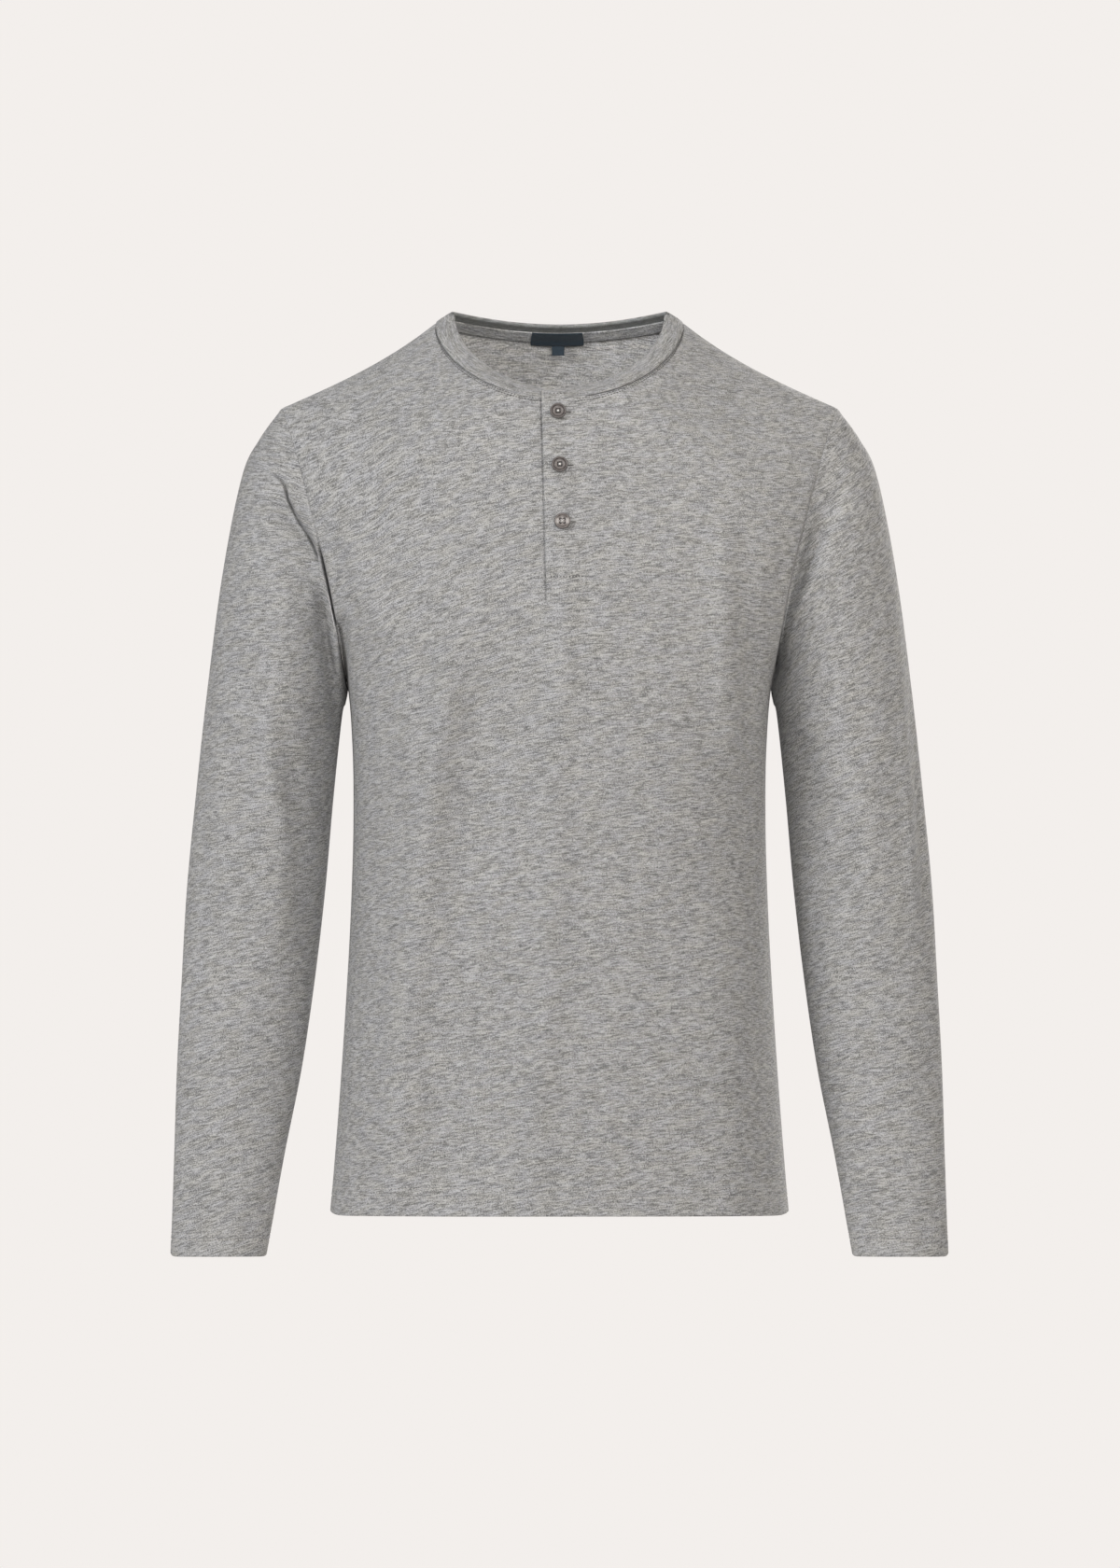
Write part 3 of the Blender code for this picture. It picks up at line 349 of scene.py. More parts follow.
def travelled(grid, axis):
    """Distance travelled over the grid's points along an axis, from its first row or column."""
    steps = np.linalg.norm(np.diff(grid, axis=axis), axis=-1)
    start = np.zeros_like(np.take(steps, [0], axis=axis))
    return np.concatenate([start, np.cumsum(steps, axis=axis)], axis=axis)


# ---------------------------------------------------------------- body surface
def shoulder_height(x):
    """Height of the shoulder seam at x: a cubic outside the neck, and inside it an
    exponential that levels off."""
    drop = -SHOULDER_TIP[1]
    s = (np.abs(x) - NECK_HALF_WIDTH) / (SHOULDER_TIP[0] - NECK_HALF_WIDTH)
    outer = -drop * (s + SHOULDER_BOW[0] * s * (1 - s) + SHOULDER_BOW[1] * s * (1 - s) ** 2)
    inner = NECK_RISE * (1 - np.exp(NECK_STEEPNESS * drop * np.minimum(s, 0.0) / NECK_RISE))
    return np.where(s > 0, outer, inner)


def seam_x(z):
    """x of the side seam, or above the underarm of the armhole seam, at height z."""
    return through(column(TORSO, "height"), column(TORSO, "half_width"), z)


def depth(side, x, z):
    """Distance of the body's cloth from y = 0. The cross-section is a superellipse through the
    armhole seam, and it closes over the shoulder along another."""
    full = through(column(TORSO, "height"), column(TORSO, side.depth_column), z)
    middle = (UNDERARM_Z + SHOULDER_TIP[1]) / 2
    below = np.clip((middle - z) / (middle - UNDERARM_Z), 0.0, 1.0)
    share = side.armhole * (1 - below**3)
    power = through(column(TORSO, "height"), column(TORSO, "roundness"), z)
    width = seam_x(z) / (1 - share**power) ** (1 / power)
    section = full * np.clip(1 - (np.abs(x) / width) ** power, 0.0, 1.0) ** (1 / power)
    out = ease((np.abs(x) - SHOULDER_BLEND) / (SHOULDER_TIP[0] - SHOULDER_BLEND))
    reach = side.reach[0] + (side.reach[1] - side.reach[0]) * out
    exponent = side.exponent[0] + (side.exponent[1] - side.exponent[0]) * out
    under_seam = np.clip((shoulder_height(x) - z) / reach, 0.0, 1.0)
    return section * (1 - (1 - under_seam) ** exponent) ** (1 / exponent)


def fold_swell(folds, x, z):
    """Sum of the folds' heights at points of the front view: each a Gauss curve across its
    line, fading at both ends."""
    total = np.zeros(np.broadcast(x, z).shape)
    end, soon = FOLD_ENDS
    for fold in folds:
        along = (z - fold.z_top) / (fold.z_bottom - fold.z_top)
        inside = np.clip(along, 0.0, 1.0)
        bow = fold.bow * 4 * inside * (1 - inside)
        line = fold.x_top + (fold.x_bottom - fold.x_top) * along + bow
        fade = ease(along / end + soon) * ease((1 - along) / end + soon)
        total = total + fold.height * fade * bell(x - line, fold.width)
    return total


def placket_line(z):
    """x of the placket's centre line, which leans and returns to the middle below it."""
    top, bottom = PLACKET_LEAN
    t = (-NECK_DROP_FRONT - z) / (-NECK_DROP_FRONT - PLACKET_BOTTOM_Z)
    lean = top + (bottom - top) * np.clip(t, 0.0, 1.0)
    return lean * ease((z - UNDERARM_Z + 0.02) / 0.06)


def neck_height(side, x):
    """Height of the collar seam at x: a power of the cosine across the neck's width."""
    cosine = np.sqrt(np.clip(1 - (x / NECK_HALF_WIDTH) ** 2, 0.0, 1.0))
    return -side.neck_drop * cosine**side.neck_curve


def upper_flat(side, u, m):
    """Front-view x and z above the underarm: a Coons patch between the underarm row, the
    armhole seams and the collar and shoulder seams. m runs from 0 at the underarm to 1."""
    across = np.abs(u)
    turn = np.clip(across / NECK_U, 0.0, 1.0) * pi / 2
    out = np.clip((across - NECK_U) / (1 - NECK_U), 0.0, 1.0)
    top_x = np.where(across < NECK_U, NECK_HALF_WIDTH * np.sin(turn),
                     NECK_HALF_WIDTH + (SHOULDER_TIP[0] - NECK_HALF_WIDTH) * out)
    top_z = np.where(across < NECK_U, neck_height(side, top_x), shoulder_height(top_x))
    bottom_x = seam_x(UNDERARM_Z) * np.sin(across * pi / 2)
    edge_z = UNDERARM_Z + (SHOULDER_TIP[1] - UNDERARM_Z) * m
    corner_x = (1 - m) * seam_x(UNDERARM_Z) + m * SHOULDER_TIP[0]
    x = (1 - m) * bottom_x + m * top_x + across**3 * (seam_x(edge_z) - corner_x)
    return np.sign(u) * x, (1 - m) * UNDERARM_Z + m * top_z


def body_points(side, x, z):
    """Points of the body's surface over front-view x and z, with the side's folds."""
    folds = FRONT_FOLDS + FRONT_CREASES if side is FRONT else BACK_FOLDS + BACK_CREASES
    swell = fold_swell(folds, x, z)
    near_seam, over = FOLD_SIDE_FADE
    swell = swell * (1 - ease((np.abs(x) / seam_x(z) - near_seam) / over))
    neck = neck_height(side, np.minimum(np.abs(x), NECK_HALF_WIDTH))
    swell = swell * ease((neck - z) / FOLD_NECK_FADE)
    return points(x, side.sign * (depth(side, x, z) + swell), z)


def armhole(turn):
    """Points of the armhole seam of the wearer's left side, by angle from the shoulder tip
    down the front and up the back."""
    z = SHOULDER_TIP[1] + (UNDERARM_Z - SHOULDER_TIP[1]) * (1 - np.cos(turn)) / 2
    x = seam_x(z)
    y = np.where(np.sin(turn) >= 0, -depth(FRONT, x, z), depth(BACK, x, z))
    return points(x, y, z)


ARMHOLE_AXIS = unit(np.array([SHOULDER_TIP[1] - UNDERARM_Z, 0.0,
                              seam_x(UNDERARM_Z) - SHOULDER_TIP[0]]))


def armhole_out(turn):
    """Unit vectors out of the armhole's ring, square to its seam and to the ring's axis."""
    along = armhole(turn + 0.01) - armhole(turn - 0.01)
    return unit(np.cross(along, ARMHOLE_AXIS))


def lower_rows():
    """Heights of the rows from the hem to the underarm, closer at the hem's stitching."""
    below, above = -0.6925, -0.6755
    return np.concatenate([np.linspace(HEM_Z, below, 5)[:-1], np.linspace(below, above, 24)[:-1],
                           np.linspace(above, UNDERARM_Z, 112)[:-1]])


def upper_rows():
    """Shares of the height from the underarm up, closer at the collar and shoulder seams."""
    fine = 0.965
    return np.concatenate([np.linspace(0.0, fine, 66)[:-1], np.linspace(fine, 1.0, 16)])


def side_positions(first):
    """Grid coordinates from first out to the side seam, closer there."""
    fine = 0.018
    return np.concatenate([np.linspace(first, 0.982, 76)[:-1], 1 - fine * np.linspace(1, 0, 7) ** 1.3])


def panel_flat(side, u):
    """Front-view x and z of whole columns of a panel, from hem to top."""
    lower, upper = lower_rows()[:, None], upper_rows()[:, None]
    sine = np.sin(np.abs(u)[None] * pi / 2)
    near_hem = ease((HEM_Z + HEM_CORNER_HEIGHT - lower) / HEM_CORNER_HEIGHT)
    low_z = lower + HEM_CORNER_RISE * sine**HEM_CORNER_POWER * near_hem
    low_x = np.sign(u) * seam_x(low_z) * sine
    high_x, high_z = upper_flat(side, u[None], upper)
    return np.vstack([low_x, high_x]), np.vstack([low_z, np.broadcast_to(high_z, high_x.shape)])


def placket_flat(offsets):
    """Front-view x and z of the front's columns at distances from the placket's line."""
    lower, upper = lower_rows()[:, None], upper_rows()[:, None]
    middle_z = UNDERARM_Z + (-NECK_DROP_FRONT - UNDERARM_Z) * upper
    x = np.vstack([placket_line(lower), placket_line(middle_z)]) + offsets
    high_z = (1 - upper) * UNDERARM_Z + upper * neck_height(FRONT, x[len(lower):])
    return x, np.vstack([np.broadcast_to(lower, (len(lower), len(offsets))), high_z])


def bridge(first, last):
    """Columns between two columns, evenly spaced."""
    share = np.linspace(0, 1, 7)[1:-1]
    return first[:, None] + (last - first)[:, None] * share


# The front's columns at the placket: distances from its centre line.
PLACKET_OFFSETS = np.array([-0.0177, -0.0170, -0.0166, -0.0162, -PLACKET_HALF_WIDTH, -0.0150, -0.0136,
                            -0.0122, SLIT_EDGES[0], -0.0083, -0.0055, -0.0028, 0.0, 0.0028, 0.0055,
                            0.0083, 0.0110, 0.0130, 0.0148, SLIT_EDGES[1], 0.0170, 0.0185])
PLACKET_EDGE, SLIT_FIRST, SLIT_LAST = (int(np.argmin(np.abs(PLACKET_OFFSETS - edge)))
                                       for edge in (-PLACKET_HALF_WIDTH, *SLIT_EDGES))


def seam_relief(away):
    """Height of the cloth beside a seam: it dips into the seam and stands up next to it."""
    height, distance, width = SEAM_SWELL
    return height * bell(away - distance, width) - SEAM_DIP[0] * bell(away, SEAM_DIP[1])


def sunk(side, seam_z, away, reach=None):
    """How far the cloth beside an armhole seam goes in with it: from the seam's height, its
    distance from the seam and how far that part of the shirt takes to come out again."""
    sink = SINK[side]
    deep = sink.deep * ease((sink.top - seam_z) / sink.over) * ease((seam_z - UNDERARM_Z) / 0.008)
    return deep * bell(away, reach or sink.sleeve_reach)


def stitched_relief(away, rows):
    """Height of the cloth beside rows of stitching: a groove at each and a swell between."""
    grooves = sum(-0.00038 * bell(away - row, 0.0007) for row in rows)
    return grooves + 0.00028 * bell(away - sum(rows) / 2, abs(rows[1] - rows[0]) * 0.36)


def hem_relief(z, rows):
    """Height of the cloth at a turned hem: softer rows of stitching over the doubled cloth."""
    height, over = PLY_STEP
    return 0.5 * stitched_relief(z, rows) + height * ease((rows[1] - z) / over)


def with_relief(side, x, z, neck):
    """Points and outward directions of a panel, with its seams, hem and collar stitching."""
    grid = body_points(side, x, z)
    out = outward(grid)
    at_neck = np.zeros(x.shape[1], bool)
    at_neck[neck] = True
    # Both sides of a seam share one direction.
    out[:, [0, -1], 1] = 0.0
    out[-1, ~at_neck, 1] = 0.0
    turn = np.arccos(2 * upper_rows() - 1)
    ring = armhole_out(turn if side is FRONT else 2 * pi - turn)
    level = len(lower_rows())
    left, right = (-1, 0) if side is FRONT else (0, -1)
    out[level:, left] = ring
    out[level:, right] = ring * np.array([-1.0, 1.0, 1.0])
    out = unit(out)
    from_left = travelled(grid, 1)
    from_right = from_left[:, -1:] - from_left
    edge = np.minimum(from_left, from_right)
    climbed = travelled(grid, 0)
    below_top = climbed[-1:] - climbed
    relief = seam_relief(edge) + hem_relief(z, HEM_STITCH_ROWS)
    deep, width = COLLAR_GROOVE
    collar = stitched_relief(below_top, COLLAR_STITCH_ROWS) - deep * bell(below_top, width)
    relief = relief + np.where(at_neck, collar, seam_relief(below_top))
    if side is FRONT:
        place, deep, deeper, width = STRIP_GROOVE
        beside_strip = x - placket_line(z) - place
        groove = deep + deeper * ease((z + 0.160) / 0.080)
        relief = relief - groove * bell(beside_strip, width) * ease((z - PLACKET_BOTTOM_Z) / 0.002)
        for hand, column_z, away, towards in ((-1, z[:, :1], from_left, out[:, :1]),
                                              (1, z[:, -1:], from_right, out[:, -1:])):
            deep = sunk(hand, column_z, away, SINK_BODY_REACH) * (column_z > UNDERARM_Z)
            grid = grid - towards * deep[..., None]
        hollow = HOLLOW.deep * ease((HOLLOW.top - z) / 0.016) * ease((z - UNDERARM_Z) / 0.012)
        past = ease((from_left - HOLLOW.reach) / HOLLOW.falloff)
        grid[..., 1] += hollow * ease(from_left / HOLLOW.edge) * (1 - past)
    return grid + out * relief[..., None], out


@cache
def front_panel():
    """The front: points, outward directions, front-view x and z, columns at the neck and
    the placket's first column."""
    u = side_positions(0.1)
    left, right = panel_flat(FRONT, -u[::-1]), panel_flat(FRONT, u)
    middle = placket_flat(PLACKET_OFFSETS)
    x, z = (np.hstack([left[k], bridge(left[k][:, -1], middle[k][:, 0]), middle[k],
                       bridge(middle[k][:, -1], right[k][:, 0]), right[k]]) for k in (0, 1))
    upper = upper_rows()
    at_neck = np.abs(x[-1]) <= NECK_HALF_WIDTH + 1e-9
    lift = np.where(at_neck, neck_height(FRONT, x[-1]) - z[-1], 0.0)
    z = z + np.append(np.zeros(len(z) - len(upper)), upper)[:, None] * lift
    inside = np.nonzero(at_neck)[0]
    neck = slice(inside[0], inside[-1] + 1)
    grid, out = with_relief(FRONT, x, z, neck)
    return grid, out, x, z, neck, len(u) + 5


@cache
def back_panel():
    """The back, its columns from the wearer's left to right, as the front is."""
    u = np.concatenate([side_positions(0.0)[::-1], -side_positions(0.0)[1:]])
    x, z = panel_flat(BACK, u)
    inside = np.nonzero(np.abs(x[-1]) <= NECK_HALF_WIDTH + 1e-9)[0]
    neck = slice(inside[0], inside[-1] + 1)
    grid, out = with_relief(BACK, x, z, neck)
    return grid, out, x, z, neck


def lean_front(x, z):
    """How far the cloth's rows have climbed at x on the front: their slope falls along a tanh
    from the wearer's right chest to the left, and is gentle below and near the shoulders."""
    chest = ease((z + 0.46) / 0.22)
    high = 1 - 0.6 * ease((z + 0.17) / 0.13)
    steep = 0.22 * x - 0.018 * (np.log(np.cosh(x / 0.09 + 0.2)) - np.log(np.cosh(0.2)))
    return chest * high * steep + (1 - chest) * (0.14 * x - 0.22 * x**2)


def panel_uv(grid, x, z, lean):
    """Metres of cloth across from the centre line and up from the underarm, the rows leaning
    as lean says. Both are distances travelled over the grid."""
    centre = np.argmin(np.abs(x[0]))
    across = travelled(grid, 1)
    across = across - across[:, centre:centre + 1]
    up = travelled(grid, 0)
    level = len(lower_rows())
    up = up - up[level:level + 1]
    # Where the armhole turns in, heights are read off the last column that it leaves alone.
    straight = 0.160
    pivots = np.nonzero(np.abs(x[-1]) < straight)[0][[0, -1]]
    for column in (*range(pivots[0]), *range(pivots[1] + 1, x.shape[1])):
        pivot = pivots[0] if column < pivots[0] else pivots[1]
        up[:, column] = np.interp(z[:, column], z[:, pivot], up[:, pivot])
    return np.stack([across, up - lean(x, z)], axis=-1)


# ---------------------------------------------------------------- sleeve surface
def sleeve_rows():
    """Section numbers of the sleeve's rows, closer at the armhole and at the cuff."""
    elbow, below, above = 4.0, 9.90, 9.68
    return np.concatenate([[0.0, 0.025, 0.05, 0.08, 0.12, 0.17, 0.24], np.linspace(0.32, elbow, 110)[:-1],
                           np.linspace(elbow, above, 84)[:-1], np.linspace(above, below, 24)[:-1],
                           np.linspace(below, 10.0, 4)])


def tuck_fade(z):
    """How much of the tuck there is at a height."""
    return ease((-0.106 - z) / 0.026) * ease((z + 0.195) / 0.014)


def beside_tuck(x, z):
    """Distance across from the tuck's line at points of the front view, outwards positive."""
    heights, line = np.array(TUCK_LINE).T
    return x - through(heights, line, z)


def tuck_swell(x, z):
    """The tuck's height at points of the front view: a narrow slot along its line, and a lip
    outside it."""
    away = beside_tuck(x, z) * 0.86
    deep, narrow, lip = TUCK
    outside = ease(away / 0.0015) * bell(away, TUCK_REACH)
    return tuck_fade(z) * (lip * outside - deep * bell(away, narrow))


def drawn_to_tuck(grid):
    """The sleeve's points moved down the arm along its surface, closer together at the tuck."""
    down = unit(np.gradient(grid, axis=0))
    step = 0.001
    ahead = grid + down * step
    away = beside_tuck(grid[..., 0], grid[..., 2])
    rate = (beside_tuck(ahead[..., 0], ahead[..., 2]) - away) / step
    move = -0.78 * away * bell(away, TUCK_REACH) * tuck_fade(grid[..., 2]) * (grid[..., 1] < 0)
    move = move * ease(travelled(grid, 0) / 0.008)
    return grid + down * (move / np.maximum(rate, 0.5))[..., None]


@cache
def sleeve_surface(side):
    """A sleeve, as the left one: rows down the arm, columns round it from the inner edge over
    the back, the outer edge and the front. Returns points, outward directions and z."""
    front_folds = {1: SLEEVE_LEFT_FRONT + SLEEVE_LEFT_CREASES,
                   -1: SLEEVE_RIGHT_FRONT + SLEEVE_RIGHT_CREASES}[side]
    turn = pi * np.concatenate([1 + np.arange(SLEEVE_COLUMNS[0]) / SLEEVE_COLUMNS[0],
                                2 + np.arange(SLEEVE_COLUMNS[1]) / SLEEVE_COLUMNS[1]])
    across = (1 - np.cos(turn)) / 2
    rows = sleeve_rows()
    station = np.arange(len(SLEEVE))
    read = {name: through(station, column(SLEEVE, name), rows)[:, None] for name in Section._fields}
    x = read["outer_x"] + (read["inner_x"] - read["outer_x"]) * across
    z = read["outer_z"] + (read["inner_z"] - read["outer_z"]) * across
    y = read["middle"] - read["half_depth"] * np.sin(turn)
    seam = armhole(turn)
    blend = (1 - ease(rows / ARMHOLE_BLEND))[:, None]
    chord_x = SHOULDER_TIP[0] + (seam_x(UNDERARM_Z) - SHOULDER_TIP[0]) * across
    x = x + blend * (seam[:, 0] - chord_x)
    y = blend * seam[:, 1] + (1 - blend) * y
    corner = np.abs(np.cos(turn)) ** CUFF_CORNER_POWER
    z = z + CUFF_CORNER_RISE * corner * ease((rows - CUFF_ROW) / 0.4)[:, None]
    facing = np.sin(turn)
    if side < 0:
        x, y, z = np.moveaxis(drawn_to_tuck(points(x, y, z)), -1, 0)
    swell = fold_swell(front_folds, x, z)
    if side < 0:
        swell = swell + tuck_swell(x, z)
    swell = swell * ease(facing / 0.5)
    swell = swell + fold_swell(SLEEVE_BACK, x, z) * ease(-facing / 0.5)
    swell = swell * ease(rows / 0.3)[:, None] * ease((10.2 - rows) / 0.8)[:, None]
    grid = points(x, y - swell * np.sign(facing), z)
    grid = grid + ARMHOLE_AXIS * SEAM_GAP * 0.6
    out = outward(grid, closed=True)
    out[0] = armhole_out(turn)
    from_seam = travelled(grid, 0)
    relief = seam_relief(from_seam) + hem_relief(z, CUFF_STITCH_ROWS)
    grid = grid - out[:1] * (sunk(side, seam[:, 2], from_seam) * (facing > 0))[..., None]
    inner_edge = np.minimum(travelled(grid, 1), travelled(grid[:, ::-1], 1)[:, ::-1] + 0.001)
    relief = relief - 0.0006 * bell(inner_edge, 0.0016)
    return grid + out * relief[..., None], out, z


def sleeve_uv(grid, slope_top, slope_low, towards):
    """Metres of cloth round the sleeve from the middle of its front and along it from the
    level section, the rows sloping as given. The map has one column more than the grid."""
    ring = np.concatenate([grid, grid[:, :1]], axis=1)
    round_it = travelled(ring, 1)
    middle = SLEEVE_COLUMNS[0] + SLEEVE_COLUMNS[1] // 2
    round_it = round_it - round_it[:, middle:middle + 1]
    along = -travelled(ring, 0)
    level = np.searchsorted(sleeve_rows(), 5.0)
    along = along - along[level:level + 1]
    slope = slope_low + (slope_top - slope_low) * ease((along + 0.30) / 0.40)
    return np.stack([round_it * towards, along - slope * round_it * towards], axis=-1)


# ---------------------------------------------------------------- collar
@cache
def collar_ring():
    """The collar seam as one ring from the wearer's right shoulder over the front and round
    the back, with the band's direction, its outward and the shared outward direction."""
    front, front_out, _, _, front_neck, _ = front_panel()
    back, back_out, _, _, back_neck = back_panel()
    front_seam = body_seam(FRONT, front[-1, front_neck, 0])
    back_seam = body_seam(BACK, back[-1, back_neck, 0])
    seam = np.vstack([front_seam, back_seam[1:-1]])
    along = np.roll(seam, -1, axis=0) - np.roll(seam, 1, axis=0)
    away = unit(points(along[:, 1], -along[:, 0], np.zeros(len(seam))))
    lift_front, lift_side, lift_back = np.radians(BAND_LIFTS)
    lift = (lift_side + (lift_front - lift_side) * np.clip(-away[:, 1], 0.0, 1.0)
            + (lift_back - lift_side) * np.clip(away[:, 1], 0.0, 1.0))
    rise = -away * np.cos(lift)[:, None]
    rise[:, 2] = np.sin(lift)
    band_out = unit(np.cross(along, rise))
    panel_out = np.vstack([front_out[-1, front_neck], back_out[-1, back_neck][1:-1]])
    return seam, rise, band_out, unit(band_out + panel_out)


def body_seam(side, x):
    """The collar seam's points at x, without any relief."""
    z = neck_height(side, x)
    return points(x, side.sign * depth(side, x, z), z)


# ---------------------------------------------------------------- mesh making
def put(mesh, finishes, nodes=()):
    """Put a mesh into the scene as a piece of its name, which rides on the shirt, takes its
    finishes and stands for the nodes."""
    piece = bpy.data.objects.new(mesh.name, mesh)
    bpy.context.scene.collection.objects.link(piece)
    for finish in finishes:
        mesh.materials.append(finish)
    mesh.shade_smooth()
    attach(piece, "root")
    if nodes:
        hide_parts(*nodes)
    return piece


def grid_mesh(name, grid, uv, cells=None, closed=False, flipped=False, capped=False):
    """A mesh of the grid's quads, with the UV map in metres. closed joins the last column to
    the first, and capped closes both ends of such a tube."""
    rows, columns = grid.shape[:2]
    if cells is None:
        cells = np.ones((rows - 1, columns if closed else columns - 1), bool)
    row, col = np.nonzero(cells)
    right = (col + 1) % columns
    quads = np.stack([row * columns + col, row * columns + right,
                      (row + 1) * columns + right, (row + 1) * columns + col], axis=1)
    corners = np.stack([uv[row, col], uv[row, col + 1], uv[row + 1, col + 1], uv[row + 1, col]], axis=1)
    if flipped:
        quads, corners = quads[:, ::-1], corners[:, ::-1]
    used, renumbered = np.unique(quads, return_inverse=True)
    faces = renumbered.reshape(-1, 4).tolist()
    corners = corners.reshape(-1, 2)
    if capped:
        step = 1 if flipped else -1
        first, last = np.arange(columns)[::step], ((rows - 1) * columns + np.arange(columns))[::-step]
        faces += [first.tolist(), last.tolist()]
        corners = np.vstack([corners, uv[0, :columns][::step], uv[-1, :columns][::-step]])
    mesh = bpy.data.meshes.new(name)
    mesh.from_pydata(grid.reshape(-1, 3)[used].tolist(), [], faces)
    mesh.uv_layers.new(name=UV).data.foreach_set("uv", corners.ravel())
    mesh.update()
    return mesh


def thicken(piece, thickness):
    """Give a surface its wall inwards, with the second finish inside."""
    wall = piece.modifiers.new("wall", "SOLIDIFY")
    wall.thickness = thickness
    wall.offset = -1.0
    wall.use_even_offset = False
    wall.material_offset = 1


def hemmed(grid, out, uv, rows):
    """The rows that carry a hem on round its fold and back up inside it: a half turn round the
    edge, then the grid's own rows, which run from the edge up, moved in by two plies."""
    turn = np.linspace(0.0, pi, 6)[1:-1, None, None]
    edge, edge_out = grid[rows[0]], out[rows[0]]
    up = unit(grid[rows[1]] - edge)
    bulge = 0.0004
    fold = edge - edge_out * PLY * (1 - np.cos(turn)) - up * bulge * np.sin(turn)
    inner = grid[rows] - out[rows] * 2 * PLY
    held = [np.concatenate([np.repeat(values[rows[:1]], len(turn), axis=0), values[rows]])
            for values in (out, uv)]
    return np.concatenate([fold, inner]), *held


def with_allowance(grid, out, uv, cells, open_top):
    """The panel with its seam allowances: its side and top edges turn in by ALLOWANCE, except
    over the columns of open_top."""
    inset = np.array(ALLOWANCE)
    grid, out, uv = (np.pad(values, ((0, 3), (3, 3), (0, 0)), mode="edge") for values in (grid, out, uv))
    deep = np.zeros(grid.shape[:2])
    deep[:, :3], deep[:, -3:], deep[-3:, 3:-3] = inset[::-1], inset, inset[:, None]
    turned = np.zeros((grid.shape[0] - 1, grid.shape[1] - 1), bool)
    turned[:-3, :3] = turned[:-3, -3:] = True
    turned[-3:, 3:-3] = True
    turned[-3:, 3 + open_top.start:2 + open_top.stop] = False
    turned[:-3, 3:-3] = cells
    return grid - out * deep[..., None], uv, turned


def stitch_row(path, out, stitch):
    """Stitches at equal distances along a path: their middles, their directions along it and
    outwards, and their length, radius and arch."""
    length = travelled(path, 0)
    count = max(int(length[-1] / stitch.pitch), 1)
    at = (np.arange(count) + 0.5) * length[-1] / count

    def read(values):
        return np.stack([np.interp(at, length, values[:, k]) for k in range(3)], axis=1)

    ahead = unit(np.gradient(path, length, axis=0))
    return read(path), unit(read(ahead)), unit(read(out)), stitch.length, stitch.radius, stitch.arch


def thread_arrays(centre, ahead, out, length, radius, height):
    """Short rounded threads: rings of six points round each, wide in the middle and narrow at
    the ends, flattened to height. Returns points and faces."""
    side = unit(np.cross(ahead, out))
    turn = np.arange(6) / 6 * 2 * pi
    at = np.array([-1.0, -0.72, 0.0, 0.72, 1.0])
    width = np.array([0.25, 0.85, 1.0, 0.85, 0.25])
    arch = height * (1 - at**2)
    sideways = radius * width[:, None] * np.cos(turn)
    upwards = radius * width[:, None] * np.sin(turn) + arch[:, None]
    spot = (centre[:, None, None] + ahead[:, None, None] * (at * length / 2)[None, :, None, None]
            + side[:, None, None] * sideways[None, :, :, None]
            + out[:, None, None] * upwards[None, :, :, None])
    rings = len(at)
    base = (np.arange(len(centre)) * rings * 6)[:, None, None]
    ring, step = np.meshgrid(np.arange(rings - 1), np.arange(6), indexing="ij")
    quads = np.stack([ring * 6 + step, ring * 6 + (step + 1) % 6,
                      (ring + 1) * 6 + (step + 1) % 6, (ring + 1) * 6 + step], axis=-1)
    quads = quads[None, ..., ::-1] + base[..., None]
    caps = np.stack([np.arange(6), (rings - 1) * 6 + np.arange(6)[::-1]])[None] + base
    return spot.reshape(-1, 3), quads.reshape(-1, 4), caps.reshape(-1, 6)


def stitch_piece(name, rows, finish):
    """One piece of many threads. Each row is centre, ahead, out, length, radius and height."""
    corners, faces, total = [], [], 0
    for row in rows:
        spot, quads, caps = thread_arrays(*row)
        corners.append(spot)
        faces += (quads + total).tolist() + (caps + total).tolist()
        total += len(spot)
    mesh = bpy.data.meshes.new(name)
    mesh.from_pydata(np.vstack(corners).tolist(), [], faces)
    mesh.update()
    return put(mesh, [finish])


# ---------------------------------------------------------------- finishes
class Link:
    """A number that varies over a surface: an output socket whose arithmetic adds Math nodes."""

    def __init__(self, finish, socket):
        self.finish = finish
        self.socket = socket

    def __add__(self, other):
        return self.finish.math("ADD", self, other)

    def __sub__(self, other):
        return self.finish.math("SUBTRACT", self, other)

    def __rsub__(self, other):
        return self.finish.math("SUBTRACT", other, self)

    def __mul__(self, other):
        return self.finish.math("MULTIPLY", self, other)

    def __truediv__(self, other):
        return self.finish.math("DIVIDE", self, other)

    __radd__ = __add__
    __rmul__ = __mul__


